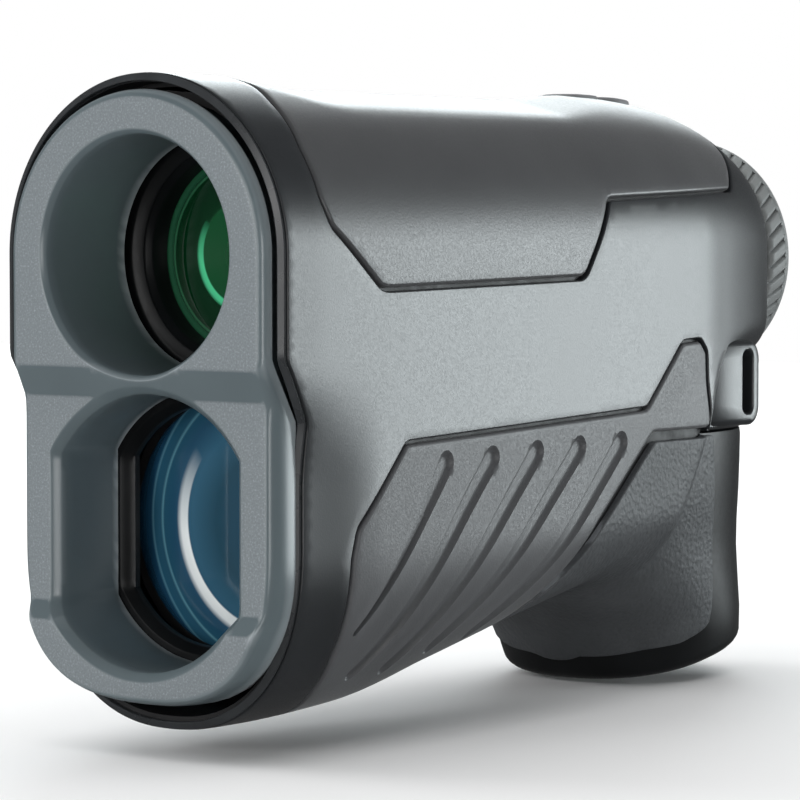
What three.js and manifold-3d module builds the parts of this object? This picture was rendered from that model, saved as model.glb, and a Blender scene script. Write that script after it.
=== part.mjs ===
// Handheld laser rangefinder, 6x24 class, with a CR2 cell in the pod under its eyepiece.
// Millimetres. +X is the user's left, -Y is the way it looks, +Z is up.
// Heights in this file are measured from the underside of the front rim. The pod reaches lower than
// that by POD_DROP, so the finished group is raised by it and stands on z = 0.

import * as THREE from 'three';
import { mergeVertices } from 'three/addons/utils/BufferGeometryUtils.js';
import Module from 'manifold-3d';

const wasm = await Module();
wasm.setup();

// ---------------------------------------------------------------- driving dimensions

const SIGHT_HEIGHT = 53.8; // axis of the upper aperture
const RECEIVER_HEIGHT = 22.8; // axis of the lower aperture
const EYE_HEIGHT = 52.8; // axis of the eyepiece
const EYE_FRONT = 51.4; // front edge of the dioptre ring
const BODY_REAR = 50.5;
const SHELL_FRONT = -52.9;
const FACE_FRONT = -59.3; // upper face of the bezel
const FACE_STEP = 1.7; // how far the lower face is set back
const HOOD_BACK = -45.2; // where both hoods end
const LOW_CENTRE = 22; // height where the flat sides start to curve under
const BELLY_POWER = 2.3; // superellipse power of the rounded belly
const ARMOUR = 1.2; // thickness of the rubber pads
const ARMOUR_BED = 1.5; // depth of the recess that they lie in
const WALL = 2.7; // from the outside of the body to its cavity
const GAP = 0.3; // clearance between pieces cut by each other
const POD_SPLIT = 30.8; // height where the grey shell meets the black pod
const POD_DROP = 2.2;
const POD_BASE = { y: 39, z: 0.45, slope: 0.18 }; // the pod's underside rises towards the rear
const BATTERY_RADIUS = 7.8;
const BATTERY_LENGTH = 27;
const BATTERY_BOTTOM = 5.6; // above the pod's underside, along the battery's axis
const WELL_RADIUS = 9.6;
const SLEEVE_RADIUS = 13.5; // fixed tube that the dioptre ring turns on
const CAP_RADIUS = 11;
const CAP_TOP = 4.4;
const FAR = 90; // longer than anything that is cut

// Half-width, height of the top above SIGHT_HEIGHT, and height of the belly, along the body.
const BODY_STATIONS = [
  { y: -57.2, half: 20.2, rise: 20.2, bottom: 0.6 },
  { y: -50, half: 20.4, rise: 20.2, bottom: 0.4 },
  { y: -34, half: 20.5, rise: 20.2, bottom: 1.1 },
  { y: -20, half: 20.5, rise: 20.2, bottom: 3.9 },
  { y: -5, half: 20.4, rise: 20.2, bottom: 7.2 },
  { y: 10, half: 20.3, rise: 20.2, bottom: 10.4 },
  { y: 20, half: 20.2, rise: 20.2, bottom: 12.6 },
  { y: 28, half: 19.6, rise: 20.1, bottom: 24 },
  { y: 34, half: 17.9, rise: 19.9, bottom: 34 },
  { y: 40, half: 16.1, rise: 19.4, bottom: 36 },
  { y: 46, half: 15.3, rise: 18.0, bottom: 37 },
  { y: BODY_REAR, half: 14.8, rise: 16.3, bottom: 37.5 },
];

// Half-width, front and rear of the battery pod, going up.
const POD_STATIONS = [
  { z: -5, half: 14.9, front: 25, rear: 53.4 },
  { z: 0, half: 15.3, front: 24, rear: 53.7 },
  { z: 5, half: 16.1, front: 21.6, rear: 54 },
  { z: 10, half: 16.7, front: 15, rear: 54 },
  { z: 16, half: 17.2, front: 8, rear: 54 },
  { z: 24, half: 18.2, front: 4, rear: 54 },
  { z: POD_SPLIT, half: 18.4, front: 6, rear: 53.6 },
  { z: 33.4, half: 18.2, front: 10, rear: 52.6 },
  { z: 36, half: 17.4, front: 14, rear: 50 },
  { z: 38.6, half: 16, front: 20, rear: 48 },
];
const POD_POWER = 2.3;

// The flat top: a shallow ridge that is cut into the round body between the rim and the buttons.
const ROOF = { ridge: 72.8, slope: 0.235, front: -37, frontRise: 0.15, rear: 12, rearRise: 0.1, rearLean: 0.25 };

// ---------------------------------------------------------------- geometry helpers

function solid(geometry) {
  const bare = geometry.clone();
  bare.deleteAttribute('normal');
  bare.deleteAttribute('uv');
  const merged = mergeVertices(bare, 1e-4);
  const vertProperties = new Float32Array(merged.attributes.position.array);
  const triVerts = new Uint32Array(merged.index.array);
  return new wasm.Manifold(new wasm.Mesh({ numProp: 3, vertProperties, triVerts }));
}

function geometryOf(manifold) {
  const mesh = manifold.getMesh();
  const geometry = new THREE.BufferGeometry();
  geometry.setAttribute('position', new THREE.BufferAttribute(mesh.vertProperties, mesh.numProp));
  geometry.setIndex(new THREE.BufferAttribute(mesh.triVerts, 1));
  geometry.computeVertexNormals();
  return geometry;
}

// Closes a row of rings, each a list of points in the same order, with a fan at each end.
function loft(rings) {
  const count = rings[0].length;
  const positions = rings.flat().flatMap((point) => point.toArray());
  const indices = [];
  for (let ring = 0; ring < rings.length - 1; ring += 1) {
    for (let i = 0; i < count; i += 1) {
      const next = (i + 1) % count;
      const [a, b] = [ring * count + i, ring * count + next];
      indices.push(a, b, a + count, b, b + count, a + count);
    }
  }
  const middleOf = (ring) => ring.reduce((sum, p) => sum.add(p), new THREE.Vector3()).divideScalar(count);
  const last = (rings.length - 1) * count;
  const firstMiddle = rings.length * count;
  positions.push(...middleOf(rings[0]).toArray(), ...middleOf(rings.at(-1)).toArray());
  for (let i = 0; i < count; i += 1) {
    const next = (i + 1) % count;
    indices.push(firstMiddle, next, i, firstMiddle + 1, last + i, last + next);
  }
  const geometry = new THREE.BufferGeometry();
  geometry.setAttribute('position', new THREE.Float32BufferAttribute(positions, 3));
  geometry.setIndex(indices);
  return solid(geometry);
}

function box(x0, x1, y0, y1, z0, z1) {
  const geometry = new THREE.BoxGeometry(x1 - x0, y1 - y0, z1 - z0);
  geometry.translate((x0 + x1) / 2, (y0 + y1) / 2, (z0 + z1) / 2);
  return solid(geometry);
}

// An outline of [y, z] points, or of a THREE.Shape in y and z, swept along X.
function prismX(outline, x0, x1, curveSegments = 8) {
  const shape = outline.isShape ? outline : new THREE.Shape(outline.map(([y, z]) => new THREE.Vector2(y, z)));
  const geometry = new THREE.ExtrudeGeometry(shape, { depth: x1 - x0, bevelEnabled: false, curveSegments });
  geometry.applyMatrix4(new THREE.Matrix4().makeBasis(Y_AXIS, Z_AXIS, X_AXIS));
  geometry.translate(x0, 0, 0);
  return solid(geometry);
}

// A THREE.Shape in x and z swept along Y.
function prismY(shape, y0, y1, curveSegments = 9) {
  const geometry = new THREE.ExtrudeGeometry(shape, { depth: y1 - y0, bevelEnabled: false, curveSegments });
  geometry.applyMatrix4(new THREE.Matrix4().makeBasis(X_AXIS, Z_AXIS, Y_AXIS.clone().negate()));
  geometry.translate(0, y1, 0);
  return solid(geometry);
}

// A THREE.Shape in x and y swept up from z0 to z1.
function prismZ(shape, z0, z1, curveSegments = 10) {
  const geometry = new THREE.ExtrudeGeometry(shape, { depth: z1 - z0, bevelEnabled: false, curveSegments });
  geometry.translate(0, 0, z0);
  return solid(geometry);
}

// A closed profile of [radius, along] points, counter-clockwise, turned about a line along Y or Z.
function turned(profile, axis, [x, y, z], segments = 24) {
  const points = [...profile, profile[0]].map(([radius, along]) => new THREE.Vector2(radius, along));
  const geometry = new THREE.LatheGeometry(points, segments);
  if (axis === 'z') geometry.rotateX(Math.PI / 2);
  geometry.translate(x, y, z);
  return solid(geometry);
}

// A tube from start to end along its axis, or a disc when inner is 0.
function tube(inner, outer, start, end, axis, centre, segments = 24) {
  const profile = [[inner, start], [outer, start], [outer, end], [inner, end]];
  return turned(profile, axis, centre, segments);
}

const X_AXIS = new THREE.Vector3(1, 0, 0);
const Y_AXIS = new THREE.Vector3(0, 1, 0);
const Z_AXIS = new THREE.Vector3(0, 0, 1);

const group = new THREE.Group();

function part(name, manifold, colour, roughness, metalness = 0) {
  const material = new THREE.MeshStandardMaterial({ color: colour, roughness, metalness });
  const mesh = new THREE.Mesh(geometryOf(manifold), material);
  mesh.name = name;
  group.add(mesh);
}

// ---------------------------------------------------------------- outer form

const signedPower = (value, power) => Math.sign(value) * Math.abs(value) ** power;

// Smooth interpolation of every value of a list of stations along one key.
function stationAt(stations, key, at) {
  const after = Math.max(1, stations.findIndex((station) => station[key] >= at));
  const [a, b] = [stations[after - 1], stations[after]];
  const t = THREE.MathUtils.clamp((at - a[key]) / (b[key] - a[key]), 0, 1);
  return Object.fromEntries(Object.keys(a).map((name) => [name, THREE.MathUtils.lerp(a[name], b[name], t)]));
}

function roofHeight(x, y) {
  const fromFront = Math.max(0, ROOF.front - y);
  const fromRear = Math.max(0, y + ROOF.rearLean * Math.abs(x) - ROOF.rear);
  return ROOF.ridge - ROOF.slope * Math.abs(x) + ROOF.frontRise * fromFront + ROOF.rearRise * fromRear;
}

function bodyRing(y, inset, count = 24) {
  const { half, rise, bottom } = stationAt(BODY_STATIONS, 'y', y);
  const lowCentre = Math.max(LOW_CENTRE, bottom + 8);
  const ring = [];
  for (let i = 0; i < count; i += 1) {
    const angle = (2 * Math.PI * i) / count;
    const [c, s] = [Math.cos(angle), Math.sin(angle)];
    if (s >= -1e-9) {
      const x = (half - inset) * c;
      const round = SIGHT_HEIGHT + (rise - inset) * s;
      ring.push(new THREE.Vector3(x, y, Math.min(round, roofHeight(x, y) - inset)));
    } else {
      const x = (half - inset) * signedPower(c, 2 / BELLY_POWER);
      const drop = (lowCentre - bottom - inset) * Math.abs(s) ** (2 / BELLY_POWER);
      ring.push(new THREE.Vector3(x, y, lowCentre - drop));
    }
  }
  return ring.reverse();
}

const BODY_STEPS = [...BODY_STATIONS.map(({ y }) => y), -42, 24, 31].sort((a, b) => a - b);

function body(inset, front = BODY_STATIONS[0].y, rear = BODY_REAR) {
  const inside = BODY_STEPS.filter((y) => y > front + 0.5 && y < rear - 0.5);
  return loft([front, ...inside, rear].map((y) => bodyRing(y, inset)));
}

function podRing({ z, half, front, rear }, inset, count = 24) {
  const middle = (front + rear) / 2;
  const ring = [];
  for (let i = 0; i < count; i += 1) {
    const angle = (2 * Math.PI * i) / count;
    const x = (half - inset) * signedPower(Math.cos(angle), 2 / POD_POWER);
    const y = middle + ((rear - front) / 2 - inset) * signedPower(Math.sin(angle), 2 / POD_POWER);
    ring.push(new THREE.Vector3(x, y, z));
  }
  return ring;
}

const pod = (inset) => loft(POD_STATIONS.map((station) => podRing(station, inset)));

const above = (z) => box(-FAR, FAR, -FAR, FAR, z, FAR);

// Stands a piece that is built upright at the origin on the pod's sloping underside.
function onPodAxis(manifold) {
  const lean = THREE.MathUtils.radToDeg(Math.atan(POD_BASE.slope));
  return manifold.rotate([lean, 0, 0]).translate([0, POD_BASE.y, POD_BASE.z]);
}

const leftHalf = box(GAP / 2, FAR, -FAR, FAR, -FAR, FAR);
const rightHalf = box(-FAR, -GAP / 2, -FAR, FAR, -FAR, FAR);

// ---------------------------------------------------------------- side-view outlines of the pads

// Front rim curve, forward slant, long lower seam, step up to the eyepiece, rear curve.
const COVER_OUTLINE = [
  [-44.5, 76], [-48.7, 70.7], [-50.4, 65.4], [-50.4, 60], [-49.3, 57], [-40.8, 50.2], [-39.5, 49.9],
  [-0.5, 50.7], [0.5, 51.2], [6.9, 60.3], [38.7, 61.6], [44, 66], [48, 71], [49, 76],
];
const GRIP_OUTLINE = [
  [-41, -2], [-44.7, 4.6], [-45.6, 9], [-45.4, 20.1], [-44.6, 23.4], [-36, 32.6],
  [14, 34.4], [22.4, 42.4], [26.8, 42.6], [28.4, 41], [29, 31.2], [15.5, 31.2], [13.6, 29.6], [3.6, 21.2],
  [-3, 14.3], [-8.5, 8.7], [-9.5, -2],
];
const POD_PANEL_OUTLINE = [
  [16, 30.4], [14.4, 29.2], [4.4, 20.8], [-2.2, 13.9], [-7.6, 8.4], [2, 4.6], [21, 1.1], [27, 2.2], [31, 2.9],
  [34, 4.2], [35.6, 5.2], [36, 6.6], [33, 30.4],
];

const SEAM = 0.45;

// Moves every point of an outline away from its middle, to leave a seam around a pad.
function grown(outline, by = SEAM) {
  const shape = new THREE.Shape(outline.map(([y, z]) => new THREE.Vector2(y, z)));
  const clockwise = THREE.ShapeUtils.isClockWise(shape.getPoints());
  return outline.map(([y, z], i) => {
    const [y0, z0] = outline.at(i - 1);
    const [y1, z1] = outline[(i + 1) % outline.length];
    const before = new THREE.Vector2(y - y0, z - z0).normalize();
    const after = new THREE.Vector2(y1 - y, z1 - z).normalize();
    const along = before.add(after).normalize();
    const side = clockwise ? -by : by;
    return [y + along.y * side, z - along.x * side];
  });
}

// ---------------------------------------------------------------- casing

const column = pod(0).intersect(above(POD_SPLIT));
const outside = body(0).add(column);
const bed = body(ARMOUR_BED).add(pod(ARMOUR_BED));
const everything = body(0).add(pod(0));
const padLayer = everything.subtract(body(ARMOUR).add(pod(ARMOUR)));

const padOutlines = [COVER_OUTLINE, GRIP_OUTLINE, POD_PANEL_OUTLINE];
const padBeds = padOutlines
  .map((outline) => prismX(grown(outline), -FAR, FAR))
  .reduce((all, next) => all.add(next));

function pad(outline, x0, x1) {
  return padLayer.intersect(prismX(outline, x0, x1));
}

const cavity = body(WALL, BODY_STATIONS[0].y - 1, BODY_REAR - 2.4);
const neckBore = tube(0, SLEEVE_RADIUS + GAP, 33, BODY_REAR + 2, 'y', [0, 0, EYE_HEIGHT]);
const batteryWell = onPodAxis(tube(0, WELL_RADIUS, -5, 34, 'z', [0, 0, 0]));

const BUTTON_PLATE = 67.2;
const FIRE = { y: 25.8, long: 8.6, wide: 8.2, top: 74 };
const MODE = { y: 34, long: 6, wide: 7, top: 73.6 };

// A rounded-end oval in plan, for a button or the hole that it moves in.
function oval({ y, long, wide }, spare, z0, z1) {
  const shape = new THREE.Shape();
  shape.absellipse(0, y, wide / 2 + spare, long / 2 + spare, 0, 2 * Math.PI, false, 0);
  return prismZ(shape, z0, z1);
}

const buttonHoles = oval(FIRE, GAP, 60, FAR).add(oval(MODE, GAP, 60, FAR));

// Screws cross the shells along X inside bosses, each with its head under the right-hand pads.
const SHELL_SCREWS = [{ y: -20, z: 31.2, reach: 17.4 }, { y: 3, z: 19, reach: 16 }, { y: 24, z: 38.6, reach: 16.6 }];
const SCREW_RADIUS = 1;
const SCREW_HEAD = 1.8;
const BOSS_RADIUS = 2.7;

function rodX(radius, x0, x1, y, z, segments = 16) {
  const geometry = new THREE.CylinderGeometry(radius, radius, x1 - x0, segments);
  geometry.rotateZ(Math.PI / 2);
  geometry.translate((x0 + x1) / 2, y, z);
  return solid(geometry);
}

const joined = (manifolds) => manifolds.reduce((all, next) => all.add(next));

const screwWays = joined(SHELL_SCREWS.map(({ y, z, reach }) => rodX(SCREW_RADIUS + 0.1, -FAR, reach, y, z)
  .add(rodX(SCREW_HEAD + GAP, -FAR, -reach, y, z))));
const bosses = joined(SHELL_SCREWS.map(({ y, z }) => rodX(BOSS_RADIUS, -FAR, FAR, y, z)));

function casing() {
  const skin = outside.subtract(padBeds).add(bed.intersect(outside));
  const behindRim = skin.intersect(box(-FAR, FAR, SHELL_FRONT, BODY_REAR, -FAR, FAR));
  const hollow = behindRim.subtract(cavity.subtract(bosses));
  return hollow.subtract(neckBore).subtract(batteryWell).subtract(buttonHoles).subtract(screwWays);
}

function largest(manifold) {
  return manifold.decompose().reduce((best, next) => (next.volume() > best.volume() ? next : best));
}

const shell = casing();
part('left_shell', largest(shell.intersect(leftHalf)), 0x4a4e52, 0.38, 0.5);
part('right_shell', largest(shell.intersect(rightHalf)), 0x4a4e52, 0.38, 0.5);
part('top_cover', largest(pad(COVER_OUTLINE, -FAR, FAR).subtract(buttonHoles)), 0x57575b, 0.75);
part('left_grip', largest(pad(GRIP_OUTLINE, GAP, FAR)), 0x5a5a5e, 0.8);
part('right_grip', largest(pad(GRIP_OUTLINE, -FAR, -GAP)), 0x5a5a5e, 0.8);
part('left_pod_pad', largest(pad(POD_PANEL_OUTLINE, GAP, FAR)), 0x55565a, 0.85);
part('right_pod_pad', largest(pad(POD_PANEL_OUTLINE, -FAR, -GAP)), 0x55565a, 0.85);

for (const [index, { y, z, reach }] of SHELL_SCREWS.entries()) {
  const shank = rodX(SCREW_RADIUS, -reach - 0.2, reach - 0.4, y, z);
  const head = rodX(SCREW_HEAD, -reach - 1, -reach - 0.1, y, z);
  part(`shell_screw_${index + 1}`, shank.add(head), 0x9a9a98, 0.3, 0.9);
}

// ---------------------------------------------------------------- front end

const FACE_HALF = 18; // half-width of the bezel's flat face
const BEZEL_POWER = 2.5;
const FACE_POWER = 2.8; // the flat face is a little squarer at the bottom than the rim around it
const RIM_FRONT = -57.2;
const APERTURE = { radius: 13.4, chamferRadius: 14, chamfer: 0.7 };
const WINDOW = { radius: 15.5, half: 13, chamfer: 1 };

function bezelRing(y, grow, power = BEZEL_POWER, count = 32) {
  const ring = [];
  for (let i = 0; i < count; i += 1) {
    const angle = (2 * Math.PI * i) / count;
    const [c, s] = [Math.cos(angle), Math.sin(angle)];
    const half = FACE_HALF + grow;
    if (s >= -1e-9) {
      ring.push(new THREE.Vector3(half * c, y, SIGHT_HEIGHT + (half - 0.2) * s));
    } else {
      const x = half * signedPower(c, 2 / power);
      ring.push(new THREE.Vector3(x, y, LOW_CENTRE - half * Math.abs(s) ** (2 / power)));
    }
  }
  return ring.reverse();
}

// The side view of the front: a proud upper face, a set-back middle, and a proud lip at the bottom.
function frontProfile(upper, step, lip, back) {
  return [
    [upper, FAR], [upper, 41.4], [upper + step, 37.7], [upper + step, 14.6],
    [upper + step - lip, 12.4], [upper + step - lip, -5], [back, -5], [back, FAR],
  ];
}

// A circle cut off by two upright flats, about the receiver's axis.
function windowShape(radius, half) {
  const corner = Math.acos(half / radius);
  const shape = new THREE.Shape();
  shape.absarc(0, RECEIVER_HEIGHT, radius, corner, Math.PI - corner, false);
  shape.absarc(0, RECEIVER_HEIGHT, radius, Math.PI + corner, 2 * Math.PI - corner, false);
  shape.closePath();
  return shape;
}

function windowRing(y, radius, half) {
  const points = windowShape(radius, half).getPoints(9);
  return points.map((point) => new THREE.Vector3(point.x, y, point.y));
}

function bezel() {
  const lower = FACE_FRONT + FACE_STEP;
  const plate = loft([
    bezelRing(FACE_FRONT - 1, 0, FACE_POWER), bezelRing(FACE_FRONT, 0, FACE_POWER), bezelRing(-56.4, 0.55),
    bezelRing(-53.6, 0.6),
  ]);
  const hood = loft([bezelRing(-54.5, -1.3), bezelRing(HOOD_BACK, -1.3)]);
  const form = plate.add(hood).intersect(prismX(frontProfile(FACE_FRONT, FACE_STEP, 1.2, HOOD_BACK), -FAR, FAR));
  const { radius, chamferRadius, chamfer } = APERTURE;
  const sightHole = turned([
    [0, FACE_FRONT - 2], [chamferRadius + 2, FACE_FRONT - 2], [chamferRadius, FACE_FRONT],
    [radius, FACE_FRONT + chamfer], [radius, HOOD_BACK + 1], [0, HOOD_BACK + 1],
  ], 'y', [0, 0, SIGHT_HEIGHT], 36);
  const receiverHole = loft([
    windowRing(lower - 3, WINDOW.radius + 4, WINDOW.half + 4),
    windowRing(lower, WINDOW.radius + WINDOW.chamfer, WINDOW.half + WINDOW.chamfer),
    windowRing(lower + WINDOW.chamfer, WINDOW.radius, WINDOW.half),
    windowRing(HOOD_BACK + 1, WINDOW.radius, WINDOW.half),
  ].map((ring) => ring.reverse()));
  return form.subtract(sightHole).subtract(receiverHole);
}

function frontRim() {
  const outer = loft([bodyRing(RIM_FRONT, 0.9), bodyRing(-55.8, 0.2), bodyRing(-54.4, 0), bodyRing(SHELL_FRONT, 0)]);
  const inner = loft([bezelRing(RIM_FRONT - 1, 1.05), bezelRing(SHELL_FRONT + 1, 1.05)]);
  const side = prismX(frontProfile(RIM_FRONT, FACE_STEP, 0, SHELL_FRONT - 0.3), -FAR, FAR);
  return outer.subtract(inner).intersect(side);
}

part('front_bezel', bezel(), 0x6d7479, 0.5, 0.3);
part('front_rim', frontRim(), 0x0c0d0e, 0.2);
part('bezel_gasket', loft([bezelRing(-53.4, 0.5), bezelRing(-53, 0.5)])
  .subtract(loft([bezelRing(-55, -0.5), bezelRing(-52, -0.5)])), 0x111111, 0.9);

// ---------------------------------------------------------------- sighting optics

const sight = (y) => [0, y, SIGHT_HEIGHT];

// A lens with two spherical faces: thickness on the axis, and how far each face bulges.
function lens(radius, thickness, frontBulge, rearBulge, centre) {
  const zones = [0, 0.5, 1];
  const face = (bulge, sign) => zones.map((r) => [r * radius, sign * (thickness / 2 - bulge * r ** 2)]);
  return turned([...face(frontBulge, -1), ...face(rearBulge, 1).reverse()], 'y', centre);
}

part('sight_lens_ring', turned([
  [11.5, 2], [13.2, 0], [15, 0], [15, 4], [11.5, 4],
], 'y', sight(HOOD_BACK + 1.1), 32), 0x0a0a0b, 0.35);
part('sight_barrel', tube(12, 13.8, 0, 42, 'y', sight(-40)), 0x17181a, 0.6);
part('sight_objective', lens(11.6, 4, 1.1, 0.4, sight(-37.8)), 0x2f7a4a, 0.05);
part('focus_lens', lens(11.6, 2.6, -0.6, 0.4, sight(-20)), 0x9fc7c0, 0.05);

const PRISM_CAGE = { front: 2.6, rear: 25.4, half: 11.6, wall: 1.4 };

function prismCage() {
  const { front, rear, half, wall } = PRISM_CAGE;
  const outer = box(-half, half, front, rear, SIGHT_HEIGHT - half, SIGHT_HEIGHT + half);
  const bore = box(-half + wall, half - wall, front - 1, rear + 1, SIGHT_HEIGHT - half + wall, SIGHT_HEIGHT + half - wall);
  return outer.subtract(bore);
}

// The two glass blocks of a roof prism, with an air gap between their slanted faces.
function prismBlocks() {
  const [low, high] = [SIGHT_HEIGHT - 9.8, SIGHT_HEIGHT + 9.8];
  const first = [[3.4, low], [10.6, low], [17.2, high], [3.4, high]];
  const second = [[11.4, low], [24.6, low], [24.6, high], [18, high]];
  return [prismX(first, -9.8, 9.8), prismX(second, -9.8, 9.8)];
}

const [erectingPrism, roofPrism] = prismBlocks();
part('prism_cage', prismCage(), 0x2a2c2e, 0.6, 0.4);
part('erecting_prism', erectingPrism, 0xbfd8dc, 0.05);
part('roof_prism', roofPrism, 0xbfd8dc, 0.05);
part('display_cell', box(-9, 9, 26.2, 27.8, SIGHT_HEIGHT - 9, SIGHT_HEIGHT + 9), 0x39424a, 0.1);

// ---------------------------------------------------------------- laser receiver

const receiver = (y) => [0, y, RECEIVER_HEIGHT];

part('receiver_frame', prismY(windowShape(16, 14.4), HOOD_BACK + 1.1, HOOD_BACK + 3.1)
  .subtract(prismY(windowShape(13.4, 11.4), HOOD_BACK, HOOD_BACK + 4)), 0x0b0c0d, 0.3);
part('receiver_lens', lens(14.4, 5, 1.8, 0.4, receiver(-39)), 0x2a6c96, 0.05);
part('receiver_cone', turned([
  [14.8, 0], [15.9, 0], [15.9, 6], [5.3, 19], [5.3, 27], [4.5, 27], [4.5, 18.4], [14.8, 5.6],
], 'y', receiver(-41.6)), 0x1a1b1d, 0.6);
part('detector_can', tube(0, 4.2, 0, 3.4, 'y', receiver(-13.8), 24), 0xb8bbb9, 0.25, 0.9);
part('detector_board', box(-9, 9, -10.3, -8.7, RECEIVER_HEIGHT - 9, RECEIVER_HEIGHT + 6.5), 0x1c5b36, 0.5);

// ---------------------------------------------------------------- electronics

part('main_board', box(-14, 14, -14, 20, 36.2, 37.8), 0x1c5b36, 0.5);
part('processor', box(-6, 6, -10, 2, 37.8, 39), 0x141415, 0.4);
part('laser_driver', box(5, 12, 6, 16, 33.8, 36.2), 0x202225, 0.4);
part('laser_diode', tube(0, 2.8, 0, 4, 'z', [0, 12, 37.9], 20), 0xb39a52, 0.3, 0.9);
part('supply_capacitor', turned([[0, 0], [4, 0], [4, 14], [0, 14]], 'y', [-5, -4, 27], 24), 0x27313b, 0.4);
part('button_board', box(-6, 6, 18.5, 43, BUTTON_PLATE, BUTTON_PLATE + 0.8), 0x1c5b36, 0.5);

const SWITCH = { half: 2, base: BUTTON_PLATE + 0.81, height: 1.5, plunger: 1 };

for (const [name, { y }] of [['fire_switch', FIRE], ['mode_switch', MODE]]) {
  const { half, base, height, plunger } = SWITCH;
  const housing = box(-half, half, y - half, y + half, base, base + height);
  part(name, housing.add(tube(0, plunger, base + height - 0.2, base + height + 0.3, 'z', [0, y, 0], 16)), 0x8f8f8c, 0.3, 0.8);
}

// ---------------------------------------------------------------- buttons

const BUTTON_BASE = BUTTON_PLATE + 3.2;

function button(spec) {
  const cap = oval(spec, 0, BUTTON_BASE + 0.8, spec.top);
  const stem = tube(0, 1.6, BUTTON_BASE, BUTTON_BASE + 1.2, 'z', [0, spec.y, 0], 16);
  return cap.add(stem);
}

part('fire_button', button(FIRE), 0x3c3d40, 0.7);
part('mode_button', button(MODE), 0x3c3d40, 0.7);

// ---------------------------------------------------------------- eyepiece

const eye = (y) => [0, y, EYE_HEIGHT];
const RING_OUTER = 15.7;
const RING_INNER = SLEEVE_RADIUS + GAP;
const RING_WIDTH = 5.1;

part('eyepiece_sleeve', turned([
  [12.2, 0], [SLEEVE_RADIUS, 0], [SLEEVE_RADIUS, 21.6], [12.2, 21.6],
], 'y', eye(34), 32), 0x131416, 0.4);
part('dioptre_ring', turned([
  [RING_INNER, 0], [RING_OUTER - 0.3, 0], [RING_OUTER, 0.4], [RING_OUTER, RING_WIDTH - 0.4],
  [RING_OUTER - 0.3, RING_WIDTH], [12.2, RING_WIDTH], [12.2, RING_WIDTH - 0.6], [RING_INNER, RING_WIDTH - 0.6],
], 'y', eye(EYE_FRONT), 36), 0x77797b, 0.7);
part('eyecup', turned([
  [10.6, 0], [13.4, 0], [13.2, 1.9], [12.4, 2.7], [11.4, 2.7], [10.6, 1.4],
], 'y', eye(EYE_FRONT + RING_WIDTH + 0.1), 32), 0x161617, 0.85);
part('ocular_cell', turned([
  [10.3, 0], [11.9, 0], [11.9, 13], [10.3, 13],
], 'y', eye(39.5)), 0x191a1c, 0.5, 0.4);
part('field_lens', lens(10, 3.4, 0.8, 0.8, eye(42.5)), 0xa9c9cf, 0.05);
part('eye_lens', lens(10, 3, 0.2, 0.9, eye(49.6)), 0xa9c9cf, 0.05);

// ---------------------------------------------------------------- battery pod

// The battery, its liner and its cap are built upright at the origin, then stood on the pod's axis.
const UPRIGHT = [0, 0, 0];
const CAP = { mouth: CAP_RADIUS + GAP, floor: CAP_TOP + 0.2, lug: 1.1, lugLow: 2.6, lugHigh: 3.8 };
const LUG_ANGLES = [0, Math.PI];
const LUG_SWEEP = 0.7;

// A sector of a ring, for the bayonet lugs and the ways cut for them.
function sector(inner, outer, z0, z1, middle, sweep) {
  const shape = new THREE.Shape();
  const [from, to] = [middle - sweep / 2, middle + sweep / 2];
  shape.absarc(0, 0, outer, from, to, false);
  shape.absarc(0, 0, inner, to, from, true);
  shape.closePath();
  return prismZ(shape, z0, z1, 5);
}

function podCore() {
  const skin = pod(0).subtract(padBeds).add(pod(ARMOUR_BED)).subtract(above(POD_SPLIT - GAP / 2));
  const below = onPodAxis(box(-FAR, FAR, -FAR, FAR, -FAR, 0));
  const lugReach = CAP.mouth + CAP.lug + GAP;
  const lugWays = LUG_ANGLES.map((angle) => sector(5, lugReach, -FAR, CAP.floor, angle, LUG_SWEEP + 0.16));
  const hollows = joined([
    tube(0, WELL_RADIUS, -5, FAR, 'z', UPRIGHT),
    tube(0, CAP.mouth, -5, CAP.floor, 'z', UPRIGHT, 28),
    tube(0, lugReach, CAP.lugLow - GAP, CAP.floor, 'z', UPRIGHT, 28),
    ...lugWays,
  ]);
  return skin.subtract(below).subtract(body(-GAP / 2)).subtract(onPodAxis(hollows));
}

function batteryCell() {
  const top = BATTERY_BOTTOM + BATTERY_LENGTH;
  const can = tube(0, BATTERY_RADIUS, BATTERY_BOTTOM, top - 0.8, 'z', UPRIGHT);
  return can.add(tube(0, 3.2, top - 1.2, top, 'z', UPRIGHT, 16));
}

// A thin round rod along a helix that stands at the origin.
function helix(radius, low, high, turns, wire) {
  const steps = 10 * turns;
  const points = Array.from({ length: steps + 1 }, (_, i) => {
    const angle = (2 * Math.PI * turns * i) / steps;
    const height = THREE.MathUtils.lerp(low, high, i / steps);
    return new THREE.Vector3(radius * Math.cos(angle), radius * Math.sin(angle), height);
  });
  const section = new THREE.Shape();
  section.absarc(0, 0, wire, 0, 2 * Math.PI, false);
  const extrudePath = new THREE.CatmullRomCurve3(points);
  return solid(new THREE.ExtrudeGeometry(section, { steps, extrudePath, curveSegments: 3 }));
}

function capKnob() {
  const disc = tube(0, CAP_RADIUS, 0, 1.8, 'z', UPRIGHT, 28);
  const skirt = tube(CAP_RADIUS - 0.35, CAP_RADIUS, 0, CAP.lugHigh, 'z', UPRIGHT, 28);
  const lugs = LUG_ANGLES.map((angle) => (
    sector(CAP_RADIUS - 0.3, CAP_RADIUS + CAP.lug, CAP.lugLow, CAP.lugHigh, angle, LUG_SWEEP)));
  const coinSlot = box(-6.5, 6.5, -0.8, 0.8, -1, 1.1);
  return joined([disc, skirt, ...lugs]).subtract(coinSlot);
}

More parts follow.
